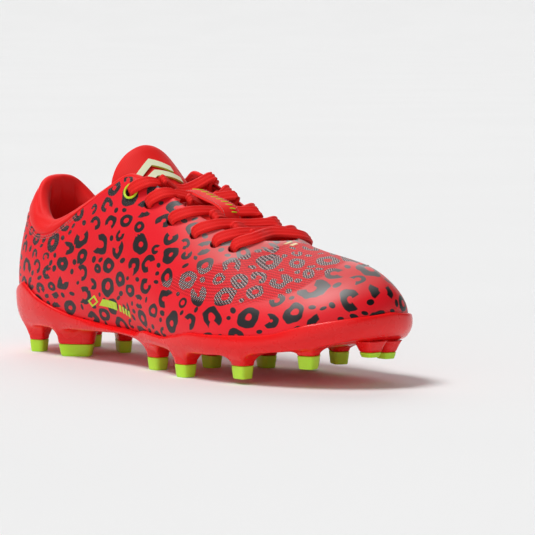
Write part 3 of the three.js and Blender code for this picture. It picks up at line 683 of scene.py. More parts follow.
MATERIALS = {
    "upper": printed_upper(),
    "collar": collar_satin(),
    "lining": mesh_lining(),
    "tongue": tongue_knit(),
    "lace": lace_weave(),
    "sole": moulded("outsole_gloss", (238, 12, 16), (250, 20, 22), 0.22, 0.1),
    "stud": moulded("stud_lime", (180, 240, 44), (200, 250, 66), 0.34, 0.3),
    "ring": moulded("eyelet_lime", (186, 218, 30), (206, 236, 50), 0.25),
    "aglet": moulded("aglet_sleeve", (180, 20, 26), (210, 36, 40), 0.2),
    "stitch": thread("stitch_pale", (226, 110, 108)),
    "board": fibre_board("board_fibre", (216, 210, 196)),
    "stiffener": fibre_board("stiffener_sheet", (230, 226, 216)),
    "badge": badge_foil(),
    "mark": moulded("mark_cream", (232, 204, 150), (248, 224, 176), 0.35),
    "paper": stage_paper(),
}

# ---- Upper ----
AROUND = 16  # columns to a station
S = np.arange(LOOP * AROUND) / AROUND
ON_RIDGE = station_of(S + 0.5 / AROUND) > VAMP
SHELL_ROWS = 56
LINING_ROWS = 44
BESIDE_HOLE = 0.007  # metres: a face further along the hole's axis is on the shoe's other side


def collar_seam(s):
    return along(COLLAR_SEAM, station_of(s))


def eyelet(medial, station):
    """An eyelet's middle, its place on the last, and the throat's edge beside it.

    slide is how far round the throat the lace crosses the edge from the eyelet.
    """
    s = LOOP - station if medial else station
    edge = top_edge(np.array([s]))[0]
    us = np.linspace(0.5, 1, 2001)
    distance = np.linalg.norm(last_point(s, us) - edge, axis=1)
    u = us[np.argmin(np.abs(distance - EYELET_MARGIN))]
    at = last_point(s, u)
    slide = (0.5 if station == EYELETS[-1] else 0.2) * (-1 if medial else 1)
    inwards, normal = unit(edge - at), last_normal(s, u)
    return {"s": s, "at": at, "edge": edge, "inwards": inwards, "normal": normal, "slide": slide}


HOLES = [[eyelet(medial, station) for station in EYELETS] for medial in (False, True)]


def shell_layer(outer, inner, low, high, rows):
    """A closed skin of the last between two offsets, its top edge rounded over where the shoe is open."""
    half = (outer - inner) / 2
    v = np.linspace(0, 1, rows)
    u = low[:, None] + (high - low)[:, None] * v[None, :]
    s = np.broadcast_to(S[:, None], u.shape)
    grow = np.where(ON_RIDGE | np.roll(ON_RIDGE, 1), 0, 1)[:, None]
    outside = wall(s, u, np.full(u.shape, outer))
    inside = wall(s, u, np.full(u.shape, inner))[:, ::-1]
    top_u, top_s = u[:, -1:], s[:, -1:]
    up = unit(last_point(top_s, top_u) - last_point(top_s, top_u - 0.01))
    bends = []
    for angle in (40, 90, 140):
        off = (outer + inner) / 2 + half * math.cos(math.radians(angle))
        rise = half * math.sin(math.radians(angle)) * grow
        bends.append(wall(top_s, top_u, np.full(top_u.shape, off)) + up * rise[..., None])
    ribs = np.concatenate([outside, *bends, inside], 1)
    edge_rows = range(rows - 1, rows + len(bends))
    shape = loft(ribs, around=True, ring=True, skip=lambda i, j: ON_RIDGE[i] and j in edge_rows)
    heights = np.concatenate([u, np.repeat(top_u, len(bends), 1), u[:, ::-1]], 1)
    stations = np.broadcast_to(S[:, None], heights.shape)
    return shape, stations, heights


def punch(obj, holes, radius):
    """Cuts round holes through a skin and draws their rims to a circle."""
    mesh = bmesh.new()
    mesh.from_mesh(obj.data)
    for hole in holes:
        middle = Vector(metres(hole["at"]))
        normal = Vector(hole["normal"])
        reach = radius * MM

        def flat(point):
            gap = point - middle
            return gap - normal * gap.dot(normal)

        def beside_hole(point):
            return abs((point - middle).dot(normal)) < BESIDE_HOLE

        near = [f for f in mesh.faces if beside_hole(f.calc_center_median())]
        inside = [f for f in near if flat(f.calc_center_median()).length < reach]
        bmesh.ops.delete(mesh, geom=inside, context="FACES")
        edges = [v for v in mesh.verts if v.is_boundary and beside_hole(v.co)]
        rims = [v for v in edges if flat(v.co).length < 1.6 * reach]
        for vert in rims:
            gap = flat(vert.co)
            vert.co += gap.normalized() * (reach - gap.length)
    loose = [v for v in mesh.verts if not v.link_faces]
    bmesh.ops.delete(mesh, geom=loose, context="VERTS")
    mesh.to_mesh(obj.data)
    mesh.free()
    obj.data.update()


LARGE_TO_DOT = (1.0, 0.7, 0.36)  # sizes of large rings, small rings and dots
FULL_RING = 9  # a gap that starts past any angle
SPOT_ROOM = 0.6  # mm round a spot that belong to it


def room_for(place, size, places, sizes):
    """Whether a spot fits beside those already placed."""
    gaps = np.linalg.norm(np.array(places) - place, axis=1) - 0.5 * (np.array(sizes) + size)
    return gaps.min() > 0


def scatter_spots(points, normals, sizes, rng):
    """Spots over a skin, in mm: large rings, small rings between them, then dots in the room left."""
    squash = np.array([0.78, 1, 1])  # spots lie longer along the foot than across it
    spots, places, taken = [], [np.full(3, 1e3)], [0.0]
    for share in LARGE_TO_DOT:
        for order in rng.permutation(len(points)):
            place, size = points[order] * squash, sizes[order] * share
            if room_for(place, size, places, taken):
                places.append(place)
                taken.append(size)
                spot = {"centre": points[order], "normal": normals[order], "size": size}
                spots.append({**spot, "dot": share == LARGE_TO_DOT[-1]})
    for spot in spots:
        lean = np.array([1, 0, 0.25]) + rng.normal(0, 0.42, 3)
        lean -= spot["normal"] * lean.dot(spot["normal"])
        spot["axis"] = unit(lean)
        side = np.cross(spot["normal"], spot["axis"])
        angle = rng.uniform(0, 2 * math.pi)
        spot["gap"] = spot["axis"] * math.cos(angle) + side * math.sin(angle)
        kind = rng.random()
        if spot["dot"]:
            spot["shape"] = (rng.uniform(1.6, 2.6), rng.uniform(1.1, 1.7), FULL_RING)
            spot["band"] = (0, 0.9, 0)
        else:
            radius = spot["size"] * rng.uniform(0.54, 0.6)
            narrow = radius * rng.uniform(0.72, 0.88)
            spot["shape"] = (radius, narrow, FULL_RING if kind < 0.4 else rng.uniform(0.55, 0.88))
            spot["band"] = (0.64, rng.uniform(0.29, 0.36), 1 if kind > 0.92 else 0)
    return spots


def give_spots(obj, spots):
    """Stores on each face the spot that it belongs to, in metres.

    spot_shape is the long radius, the wide radius and where the gap starts. spot_band is the ring's middle,
    half its width, both as shares of the radius, and whether the gap is cut at both ends.
    """
    data = obj.data
    centres = np.zeros(len(data.polygons) * 3)
    data.polygons.foreach_get("center", centres)
    centres = centres.reshape(-1, 3)
    best = np.full(len(centres), 1e9)
    chosen = np.zeros(len(centres), int)
    for k, spot in enumerate(spots):
        middle = metres(spot["centre"])
        reach = (max(spot["shape"][:2]) + SPOT_ROOM) * MM
        score = np.linalg.norm(centres - middle, axis=1) / reach
        nearer = score < best
        best[nearer], chosen[nearer] = score[nearer], k
    columns = {
        "spot_centre": [metres(q["centre"]) for q in spots],
        "spot_axis": [q["axis"] for q in spots],
        "spot_gap": [q["gap"] for q in spots],
        "spot_shape": [(q["shape"][0] * MM, q["shape"][1] * MM, q["shape"][2]) for q in spots],
        "spot_band": [q["band"] for q in spots],
    }
    for name, values in columns.items():
        attribute = data.attributes.new(name, "FLOAT_VECTOR", "FACE")
        attribute.data.foreach_set("vector", np.asarray(values, np.float32)[chosen].ravel())


STAY_REACH = [(3.6, 3), (5, 15), (6, 20), (7, 26), (8, 24), (8.6, 17), (9, 6), (9.4, 0)]  # station, depth
TOE_START = [(20, 112), (40, 106), (55, 100), (66, 92)]  # height, x
KNIT_LOW = [(10, 49), (16, 45), (51, 40), (75, 39), (89, 42), (101, 47), (107, 54), (112, 62)]  # x, height
KNIT_HIGH = [(10, 43), (16, 45), (43, 55), (58, 58.5), (66, 64), (74, 67.5), (80, 99)]


def upper_masks(s, u):
    """Where the print's zones and the painted sheen lie, each 0 to 1, and the girth: the distance below the
    throat's edge.
    """
    p = station_of(s)
    point = last_point(s, u)
    edge = last_point(s, np.ones_like(u))
    drop = np.linalg.norm(edge - point, axis=-1)
    x, z = point[..., 0], point[..., 2]
    stay_reach = along(STAY_REACH, p)
    stay = smooth(stay_reach + 1.2, stay_reach - 1.2, drop) * smooth(9.5, 9.2, p)
    toe = smooth(-3.5, 3.5, x - along(TOE_START, z))
    knit = smooth(-1.2, 1.2, z - along(KNIT_LOW, x)) * smooth(-1, 1, along(KNIT_HIGH, x) - z)
    knit *= smooth(109, 106.5, x)
    speckle = np.clip(smooth(7, 5.6, p) * smooth(26, 8, drop) + smooth(3.5, 2.2, p) * 0.7, 0, 1)
    up = last_normal(s, u)[..., 2]
    # painted sheen: stronger the more a face looks up, over the forefoot, less at the toe and over the knit
    painted_sheen = smooth(0.42, 0.82, up) * smooth(0, 40, x) * (1 - 0.4 * toe) * (1 - 0.85 * knit)
    return {"knit": knit, "stay": stay, "toe": toe, "speckle": speckle, "painted_sheen": painted_sheen, "girth": drop}


def build_upper():
    high = collar_seam(S)
    shape, s, u = shell_layer(0, -SHELL, level_all(S, 0), high, SHELL_ROWS)
    upper = make("upper_print_shell", shape, "shoe", "upper", 0.02, upper_masks(s, u))
    punch(upper, HOLES[0] + HOLES[1], EYELET_RADIUS)
    rng = np.random.default_rng(SEED)
    columns, rows = rng.integers(0, [len(S), SHELL_ROWS], (SPOT_TRIES, 2)).T
    s, u = S[columns], high[columns] * rows / SHELL_ROWS
    sizes = SPOT_SIZE + 2 * upper_masks(s, u)["toe"] - 2 * smooth(3.6, 1, station_of(s))
    sizes *= rng.uniform(0.85, 1.2, len(sizes))
    give_spots(upper, scatter_spots(last_point(s, u), last_normal(s, u), sizes, rng))
    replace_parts(upper, "upper_shell")


def build_lining():
    """The lining from the insole up to the throat edge, and up to the collar's padding behind it."""
    high = collar_seam(S) - 0.015
    inner = LINING_IN - HEEL_LINING_MORE * smooth(3.6, 2.6, station_of(S))
    shape, _, _ = shell_layer(LINING_OUT, inner[:, None], level_all(S, 0.04), high, LINING_ROWS)
    lining = make("inner_lining", shape, "shoe", "lining", 0.02)
    punch(lining, HOLES[0] + HOLES[1], EYELET_RADIUS)
    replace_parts(lining, "vamp_lining", "heel_lining",
                "eyestay_reinforcement_lateral", "eyestay_reinforcement_medial")


COLLAR_END = 5.76  # station
COLLAR_RIBS = 240


def soften(ribs, window, share):
    """Averages each rib with its neighbours, in a share for each row; the end ribs stay."""
    kernel = np.hanning(window + 2)[1:-1]
    ends = window // 2
    padded = np.concatenate([np.repeat(ribs[:1], ends, 0), ribs, np.repeat(ribs[-1:], ends, 0)])
    mean = sum(k * padded[i:i + len(ribs)] for i, k in enumerate(kernel / kernel.sum()))
    return ribs + (mean - ribs) * share[None, :, None]


def build_collar():
    """The padded collar: out of its seam, over the top line and down inside the heel."""
    s = np.linspace(-COLLAR_END, COLLAR_END, COLLAR_RIBS) % LOOP
    seam = collar_seam(s)
    fade = smooth(3.9, 2.9, station_of(s))
    half = COLLAR_HALF_THIN + (COLLAR_HALF - COLLAR_HALF_THIN) * fade
    per_mm = 1 / np.linalg.norm(last_point(s, 1) - last_point(s, 0.9), axis=1) * 0.1
    roll = 1 - half * per_mm
    rows = []
    for t in np.linspace(0, 1, 14):
        u = seam + (np.maximum(roll, seam) - seam) * t
        bulge = -0.9 * (1 - smooth(0, 0.12, t)) + fade * math.sin(math.pi * min(1, t * 1.1))
        rows.append(wall(s, u, bulge))
    top = np.maximum(roll, seam)
    for angle in np.linspace(80, -80, 11):
        rise = half * math.cos(math.radians(angle))
        out = half * math.sin(math.radians(angle)) - half
        rows.append(wall(s, np.minimum(top + rise * per_mm, 1.02), out))
    low = seam - 0.04 - 0.14 * fade
    for t in np.linspace(0.05, 1, 16):
        u = top + (low - top) * t
        swell = -1.6 * fade * math.sin(math.pi * min(1, t * 1.05))
        settle = smooth(0.72, 1, t)
        rows.append(wall(s, u, -2 * half * (1 - settle) + swell + (LINING_OUT - 0.4) * settle))
    ribs = soften(np.stack(rows, 1), 31, smooth(0, 7, np.arange(len(rows))))
    shape = loft(ribs, ring=True, caps=True)
    collar = make("collar_padded", shape, "shoe", "collar")
    rows_free = np.sin(math.pi * np.clip((np.arange(len(rows)) - 2) / (len(rows) - 5), 0, 1))
    inflate(collar, lambda places: (fade[:, None] * rows_free[None, :]).ravel(), COLLAR_SWELL)
    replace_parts(collar, "collar_panel", "collar_foam", "collar_lining")


def capsule(a, b, radius, sides=6):
    """A short stitch from a to b."""
    run = unit(b - a)
    across = unit(np.cross(run, [0, 0, 1] if abs(run[2]) < 0.9 else [1, 0, 0]))
    up = np.cross(across, run)
    turn = circle(sides)
    spokes = np.cos(turn)[:, None] * across + np.sin(turn)[:, None] * up
    rings = []
    for t, share in ((-0.02, 0.3), (0.08, 0.85), (0.5, 1), (0.92, 0.85), (1.02, 0.3)):
        rings.append(a + (b - a) * t + radius * share * spokes)
    return loft(np.array(rings), ring=True, caps=True)


def run_of(path):
    """The distance along a path at each of its points."""
    return np.concatenate([[0], np.cumsum(np.linalg.norm(np.diff(path, axis=0), axis=1))])


def read_path(path, run, at):
    """Points of a path at given distances."""
    return np.stack([np.interp(at, run, path[:, k]) for k in range(3)], -1)


def stitches(name, path, pitch, radius):
    """A row of stitches laid along a path of points."""
    run = run_of(path)
    starts = np.arange(0, run[-1] - pitch, pitch)
    parts = [capsule(*read_path(path, run, start + np.array([0, pitch * 0.72])), radius) for start in starts]
    make(name, joined(parts), "shoe", "stitch")


def build_collar_stitches():
    s = np.linspace(-3.3, 3.3, 400) % LOOP
    for name, drop in (("upper", 0.012), ("lower", 0.032)):
        path = wall(s, collar_seam(s) - drop, level_all(s, 0.12))
        stitches(f"collar_stitch_{name}", path, STITCH_PITCH, STITCH_RADIUS)


# ---- Outsole ----
CORE = 0.9  # share of a stud's length and width that its outline's inner box takes
FLARE_REACH = 2.2  # how fast the fillet dies away from a stud, in mm
FLARE_DEPTH = [(-70, 1), (0, 0.85), (107, 0.75), (118, 0.3)]  # x, share of the full depth


def stud_distance(stud, x, y):
    """Distance outside a stud's outline, below 0 inside it."""
    _, cx, cy, length, width, turn, _ = stud
    angle = math.radians(turn)
    dx, dy = x - cx, y - cy
    a = np.abs(dx * math.cos(angle) + dy * math.sin(angle)) - length / 2 * CORE
    b = np.abs(-dx * math.sin(angle) + dy * math.cos(angle)) - width / 2 * CORE
    return np.hypot(np.maximum(a, 0), np.maximum(b, 0)) + np.minimum(np.maximum(a, b), 0)


def seat_of(stud):
    """Height of the seat between a stud's lime end and its red root."""
    return stud[6] + SHORT_TIPS.get(stud[0], STUD_TIP)


def flare(x, y):
    """How far the plate reaches down round the studs, as one smooth fillet."""
    total = np.zeros_like(x)
    for stud in STUDS:
        depth = np.clip(underside(x) - seat_of(stud) - 0.5, 0, 7) * along(FLARE_DEPTH, stud[1])
        total += (depth * np.exp(-np.maximum(stud_distance(stud, x, y), 0) / FLARE_REACH)) ** 4
    return total ** 0.25


# The outsole's wall from inside its rim to its foot: share of the rim's height, offset, share of the fillet.
PLATE_WALL = [
    (0.1, -0.3, 0), (0.5, 0.1, 0), (0.92, 0.15, 0), (0.99, 0.25, 0), (1.015, 0.5, 0), (1.015, 0.95, 0),
    (0.985, 1.5, 0), (0.94, 1.8, 0), (0.86, 2.0, 0), (0.76, 2.2, 0.02), (0.66, 2.4, 0.05), (0.55, 2.6, 0.1),
    (0.44, 2.8, 0.16), (0.33, 2.95, 0.24), (0.22, 3.05, 0.33), (0.12, 3.1, 0.43), (0.04, 3.1, 0.53),
]
FOOT_ROWS = 5  # round the bend from the wall to the underside
UNDERSIDE_ROWS = 64
RIM_SOFTENING = 15  # ribs


def build_outsole():
    s = np.arange(LOOP * 36) / 36
    p = station_of(s)
    rim = np.where(side_of(s) < 0, along(RIM_LATERAL, p), along(RIM_MEDIAL, p))
    kernel = np.hanning(RIM_SOFTENING) / np.hanning(RIM_SOFTENING).sum()
    ends = RIM_SOFTENING // 2
    rim = np.convolve(np.concatenate([rim[-ends:], rim, rim[:ends]]), kernel, "valid")
    u = height_on_last(s, rim)
    rows = [(inward_edge(s, level_all(s, 2.0)) - [0, 0, 0.8], 0)]
    for share, out, fillet in PLATE_WALL:
        rows.append((wall(s, u * share, level_all(s, out)), fillet))
    low, last_fillet = rows[-1]
    fall = unit(low - rows[-4][0] - [0, 0, 0.4])
    edge = inward_edge(s, level_all(s, 0))
    outwards = inward_edge(s, level_all(s, -1)) - edge
    edge[:, 2] = underside(edge[:, 0])
    pull = 0.4 * np.linalg.norm(low - edge, axis=1)[:, None]
    for t in np.arange(1, FOOT_ROWS + 1) / (FOOT_ROWS + 1):
        q = low * (1 - t) ** 3 + 3 * (low + fall * pull) * t * (1 - t) ** 2
        q += 3 * (edge + outwards * pull) * t * t * (1 - t) + edge * t ** 3
        rows.append((q, last_fillet + (1 - last_fillet) * t))
    spine = spine_point(s)
    for t in np.linspace(0, 1, UNDERSIDE_ROWS):
        q = edge + (spine - edge) * t
        q[:, 2] = underside(q[:, 0]) + 0.35 * smooth(0.12, 0.2, t) * (1 - smooth(0.2, 0.28, t))
        rows.append((q, 1))
    for q, fillet in rows:
        q[:, 2] -= fillet * flare(q[:, 0], q[:, 1])
    plate = loft(np.stack([q for q, _ in rows], 1), around=True)
    shape = joined([plate, *[stud_red(stud) for stud in STUDS]])
    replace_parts(make("outsole_moulded", shape, "shoe", "sole", 0.01), "outsole_plate")


STUD_SIDES = 40
STUD_SQUARE = 0.5


def stud_ring(stud, z, scale):
    """A stud's outline at a height, scaled about its middle."""
    _, x, y, length, width, turn, _ = stud
    angle = circle(STUD_SIDES) + math.pi / STUD_SIDES
    cx = squarish(np.cos(angle), STUD_SQUARE) * length / 2 * scale
    cy = squarish(np.sin(angle), STUD_SQUARE) * width / 2 * scale
    a = math.radians(turn)
    across = [x + cx * math.cos(a) - cy * math.sin(a), y + cx * math.sin(a) + cy * math.cos(a)]
    return np.stack([*across, level_all(angle, z)], 1)


def stud_stack(stud, levels):
    """A stud's rings at (height, scale) levels, closed at both ends."""
    return turned(loft(np.array([stud_ring(stud, z, scale) for z, scale in levels]), ring=True, caps=True))


def stud_red(stud):
    """The red upper part of a stud, from its seat up into the plate, wider towards its root."""
    seat = seat_of(stud) + 0.15
    root = underside(stud[1] - 0.5 * stud[3]) + 1
    spread = 0.48 if stud[0] in SHORT_TIPS else 0.16
    levels = [(seat, 0.6), (seat, 0.93), (seat + 0.35, 0.985)]
    for t in np.linspace(0.1, 1, 8):
        levels.append((seat + (root - seat) * t, 1 + spread * t + 0.12 * t ** 3))
    return stud_stack(stud, levels)


def build_tips():
    for stud in STUDS:
        ground, seat = stud[6], seat_of(stud)
        tall = seat - ground
        levels = [(ground, 0.7), (ground + 0.02, 0.79), (ground + 0.35, 0.845), (ground + 0.9, 0.87)]
        levels += [(ground + 0.4 * tall, 0.91), (ground + 0.7 * tall, 0.955)]
        levels += [(seat - 0.45, 0.99), (seat - 0.1, 0.985), (seat, 0.95), (seat, 0.5), (seat + 2.4, 0.48)]
        tip = make(f"tip_{stud[0]}", stud_stack(stud, levels), "shoe", "stud")
        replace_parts(tip, f"stud_tip_{stud[0]}")


# ---- Inside ----
def build_sockliner():
    """The loose insole: its top from the spine out, cupped at the heel, and its underside back again."""
    s = np.arange(LOOP * 10) / 10
    spine, edge = spine_point(s), inward_edge(s, level_all(s, SOCKLINER_INSET))
    rows = []

    def add_row(t, drop, cup):
        q = spine + (edge - spine) * t
        q[:, 2] = feather_height(q[:, 0]) + SOCKLINER_TOP - drop + cup * smooth(20, -40, q[:, 0])
        rows.append(q)

    for t in np.linspace(0, 1, 24):
        add_row(t, 0.7 * smooth(0.9, 1, t), 2.2 * smooth(0.75, 1, t))
    for t, drop in ((1.012, 1.2), (1.012, 2.4), (0.99, 3.1), (0.5, 3.1), (0, 3.1)):
        add_row(t, drop, 0)
    shape = loft(np.stack(rows, 1), around=True)
    liner = make("sockliner_knit", shape, "sockliner", "lining", 0.01)
    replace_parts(liner, "sockliner")


PLAIN_PIECES = {
    "heel_counter": "stiffener", "toe_puff": "stiffener", "lasting_board": "board",
    "aglet_lateral": "aglet", "aglet_medial": "aglet",
}


def dress_plain_pieces():
    """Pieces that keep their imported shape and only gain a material."""
    for node, material in PLAIN_PIECES.items():
        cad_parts[node].data.materials.clear()
        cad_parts[node].data.materials.append(MATERIALS[material])


# ---- Tongue ----
# Its middle line, from under the vamp to the tip, and by x: how fast its sides fall, and half its width.
TONGUE_LINE = [(79, 57.5), (60, 63), (36, 70.8), (7, 79), (-13, 86), (-27, 96), (-43, 113)]
TONGUE_FALL = [(-43, 0.019), (-30, 0.027), (-13, 0.0445), (7, 0.031), (22, 0.025), (50, 0.0225), (79, 0.027)]
TONGUE_HALF_WIDTH = [(-46, 23), (-30, 21), (-5, 20), (10, 24), (60, 24), (79, 16)]
TONGUE_SWEEP = [(-43, 7), (-30, 5), (-12, 0), (79, 0)]  # how far the sides lie back
TONGUE_SKEW = [(-43, 0.2), (-28, 0.3), (-12, 0.08), (0, 0), (79, 0)]  # its turn to the lateral side
TIP = 5.999  # the turn, counted in points of the line, at the tongue's tip
TIP_START = 4.95  # where the sides begin to round in
TIP_ROUND = 1.049  # and the turns that they take
TURN_LENGTH = 19  # mm of tongue to a turn, near the tip
FOLD = [4.35, 5.05]  # two turns of the tongue whose middle points are worked out but not used


def tongue_middle(turn):
    """A point of the tongue's middle line, and the way out of its face there."""
    line = [(x, 0, z) for x, z in TONGUE_LINE]
    ahead = catmull(line, np.minimum(turn + 0.02, TIP), False)
    behind = catmull(line, np.maximum(turn - 0.02, 0), False)
    return catmull(line, turn, False), np.cross([0, 1, 0], unit(ahead - behind))


def tongue_height(x):
    line, _ = tongue_middle(np.linspace(0, TIP, 1200))
    return float(np.interp(x, line[::-1, 0], line[::-1, 2]))


def tongue_face(turn, across, depth):
    """A point of the tongue: turn runs from under the vamp to the tip, across from side to side."""
    middle, normal = tongue_middle(turn)
    x = middle[..., 0]
    y = across * along(TONGUE_HALF_WIDTH, x)
    bent = y ** 2
    fall = along(TONGUE_FALL, x) * bent
    sweep = along(TONGUE_SWEEP, x) * bent / 400
    skew = along(TONGUE_SKEW, x) * y
    lean = np.stack([skew - sweep, y, 0.5 * skew - fall], -1)
    return middle + lean - normal * np.asarray(depth, float)[..., None]


def build_tongue():
    turns = TIP * (1 - (1 - np.linspace(0, 1, 110)) ** 1.8)  # closer together towards the rounded tip
    into = np.clip((turns - TIP_START) / TIP_ROUND, 0, 1)
    half = np.sqrt(np.clip(1 - into ** 2.4, 0, 1))
    ring = circle(48)
    ribs = []
    for turn, share in zip(turns, half):
        across = squarish(np.cos(ring), 0.75) * share
        thick = TONGUE_THICK / 2 * (0.35 + 0.65 * min(1, share * 1.6))
        depth = TONGUE_THICK / 2 - squarish(np.sin(ring), 0.75) * thick
        ribs.append(tongue_face(level_all(ring, turn), across, depth))
    shape = loft(np.array(ribs), ring=True, caps=True)
    tongue = make("tongue_padded", shape, None, "tongue", 0.05)
    inflate(tongue, lambda places: smooth(HINGE_X - 4, HINGE_X - 12, places[:, 0]), TONGUE_SWELL)
    fold = metres(tongue_face(np.array(FOLD), np.zeros(2), np.full(2, TONGUE_THICK / 2)))
    tuple(fold[0])
    tuple(fold[1])
    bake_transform(tongue)
    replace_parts(tongue, "tongue_base_face", "tongue_base_foam", "tongue_base_lining",
                "tongue_tip_face", "tongue_tip_foam", "tongue_tip_lining")


def raised_patch(place, corners, lift=0.16, cuts=4):
    """The top and the rim of a thin slab over four flat corners, laid on a surface."""
    a, b, c, d = (np.array(q, float) for q in corners)
    t = np.linspace(0, 1, cuts)
    grid = np.array([[a + (b - a) * i + (d - a) * j + (a - b + c - d) * i * j for i in t] for j in t])
    rim = np.concatenate([grid[0], grid[1:, -1], grid[-1, -2::-1], grid[-2:0:-1, 0]])
    return [loft(place(grid, lift)), loft(np.array([place(rim, -0.1), place(rim, lift)]), ring=True)]


def on_tongue(turn, lift, shift):
    """Turns flat (across, up) millimetres round a turn of the tongue into points over its face."""
    def place(flat, more=0.0):
        flat = np.asarray(flat, float)
        turns = turn + flat[..., 1] / TURN_LENGTH
        middle, _ = tongue_middle(turns)
        across = (flat[..., 0] + shift) / along(TONGUE_HALF_WIDTH, middle[..., 0])
        return tongue_face(turns, across, np.full(across.shape, -(lift + more)))

    return place


EMBLEM_TURN = 5.16
EMBLEM_SHIFT = -3.2  # to the lateral side
RISE_TOP, RISE_RIM = 0.72, 0.05  # the foil's tone


def build_emblem():
    """A plain raised badge on the tongue: two nested chevrons that point up."""
    place = on_tongue(EMBLEM_TURN, 0.45, EMBLEM_SHIFT)
    parts, rise = [], []
    for low, reach, thick in ((-7, 12, 3.6), (-0.8, 9.5, 3.4)):
        for side in (-1, 1):
            corners = [(0, low + 5), (side * reach, low), (side * reach, low + thick), (0, low + 5 + thick)]
            corners = corners if side < 0 else corners[::-1]
            slab = raised_patch(place, corners, 0.9, 8)
            parts += slab
            rise += [RISE_TOP] * len(slab[0][0]) + [RISE_RIM] * len(slab[1][0])
    badge = make("tongue_badge", joined(parts), "tongue_tip", "badge", 0, {"rise": rise})
    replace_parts(badge, "tongue_emblem")


# ---- Lace ----
UNDER = 5.1  # how deep the lace runs under the eyelets
ABOVE = 1.9  # and how high over them
UPPER_CROWN, LOWER_CROWN = 1.9, -0.4  # heights of the two laces where they cross over the tongue
CROWN_CLEAR = 2  # over the tongue
CROWN_SAG = 5  # below the throat's edges, at its top
BAR_MIDDLE = (55.8, 2, 71.4)  # the straight run across the bottom of the throat
TUCK = [(5.6, 0.8, 1.4), (5.3, 0.62, 2.4), (5.1, 0.45, 3.2)]  # station, height, depth inside
TUCK_FROM = -3.4  # just inside the lining
PATH_STEPS = 14  # to each span of the route
THROAT_SLOPE = np.array([1, 0, -0.9])  # the way that the lace's width lies
PINCH_REACH = 3.0  # mm along the lace


def beside(base, hole, inward, out):
    """A point beside an eyelet, in steps towards the throat and out of the shoe."""
    return base + hole["inwards"] * inward + hole["normal"] * out


def out_of(hole):
    """Out of the eyelet and over the throat's edge, a little nearer the toe than the eyelet."""
    crossing = top_edge(np.array([hole["s"] + hole["slide"]]))[0]
    over = hole["at"] + 0.1 * (crossing - hole["edge"])
    return [beside(hole["at"], hole, 0.2, -UNDER), beside(hole["at"], hole, -0.4, -1.6),
            beside(over, hole, 0.9, ABOVE), beside(crossing, hole, -0.6, ABOVE + 0.3)]


def under(hole):
    """From over the tongue, down and under the throat's edge."""
    steps = ((5, -0.6), (2.4, -UNDER + 0.4), (-3, -UNDER - 0.5))
    return [beside(hole["edge"], hole, inward, out) for inward, out in steps]


def crown_height(x):
    """Height of the crossed laces: level with the throat's edges, less a sag, but over the tongue."""
    edges = sorted((hole["edge"][0], hole["edge"][2]) for hole in HOLES[0])
    sag = CROWN_SAG * float(smooth(16, -8, x))
    return max(tongue_height(x) + CROWN_CLEAR, float(along(edges, x)) - sag)


def lace_half(start):
    """Up from the bar: under the edge at each eyelet, over the tongue and into the next one across."""
    points, side = [], start
    for k in range(len(EYELETS) - 1):
        lower, upper = HOLES[side][k], HOLES[1 - side][k + 1]
        x, y = (lower["edge"][:2] + top_edge(upper["s"] + upper["slide"])[:2]) / 2
        crown = np.array([x, y, crown_height(x) + (UPPER_CROWN if side else LOWER_CROWN)])
        points += [*out_of(lower)[::-1], *under(lower)[::-1], crown]
        side = 1 - side
    points += out_of(HOLES[side][-1])[::-1]
    for station, height, clear in TUCK:
        s = LOOP - station if side else station
        points.append(wall(s, height, TUCK_FROM - clear))
    return points


def centripetal(points, steps):
    """A centripetal Catmull-Rom curve through points, with so many steps to each span."""
    points = np.asarray(points, float)
    p = np.vstack([2 * points[0] - points[1], points, 2 * points[-1] - points[-2]])
    knots = np.concatenate([[0], np.cumsum(np.linalg.norm(np.diff(p, axis=0), axis=1) ** 0.5)])
    made = []
    for i in range(1, len(p) - 2):
        t0, t1, t2, t3 = knots[i - 1:i + 3]
        for t in np.linspace(t1, t2, steps, endpoint=False):
            a1 = (t1 - t) / (t1 - t0) * p[i - 1] + (t - t0) / (t1 - t0) * p[i]
            a2 = (t2 - t) / (t2 - t1) * p[i] + (t - t1) / (t2 - t1) * p[i + 1]
            a3 = (t3 - t) / (t3 - t2) * p[i + 1] + (t - t2) / (t3 - t2) * p[i + 2]
            b1 = (t2 - t) / (t2 - t0) * a1 + (t - t0) / (t2 - t0) * a2
            b2 = (t3 - t) / (t3 - t1) * a2 + (t - t1) / (t3 - t1) * a3
            made.append((t2 - t) / (t2 - t1) * b1 + (t - t1) / (t2 - t1) * b2)
    made.append(points[-1])
    return np.array(made)


def resample(path, pitch):
    """A path's points again, evenly spaced, and the distance along it at each."""
    run = run_of(path)
    at = np.linspace(0, run[-1], max(2, int(run[-1] / pitch)))
    return read_path(path, run, at), at


def flat_cord(path, widths, thicks, wide_hint, lobes=3, sides=36):
    """The ribs of a flat woven cord, its faces raised into lobes, and each point's place across it."""
    tangent = unit(np.gradient(path, axis=0))
    wide = unit(wide_hint - tangent * (tangent @ wide_hint)[:, None])
    deep = np.cross(tangent, wide)
    turn = circle(sides)
    a = squarish(np.cos(turn), 0.8)
    b = squarish(np.sin(turn), 0.6)
    b = b * (1 + 0.24 * np.cos(a * math.pi * lobes))
    ribs = path[:, None] + wide[:, None] * (a[None, :, None] * widths[:, None, None] / 2)
    ribs = ribs + deep[:, None] * (b[None, :, None] * thicks[:, None, None] / 2)
    return ribs, np.broadcast_to(a, ribs.shape[:2])


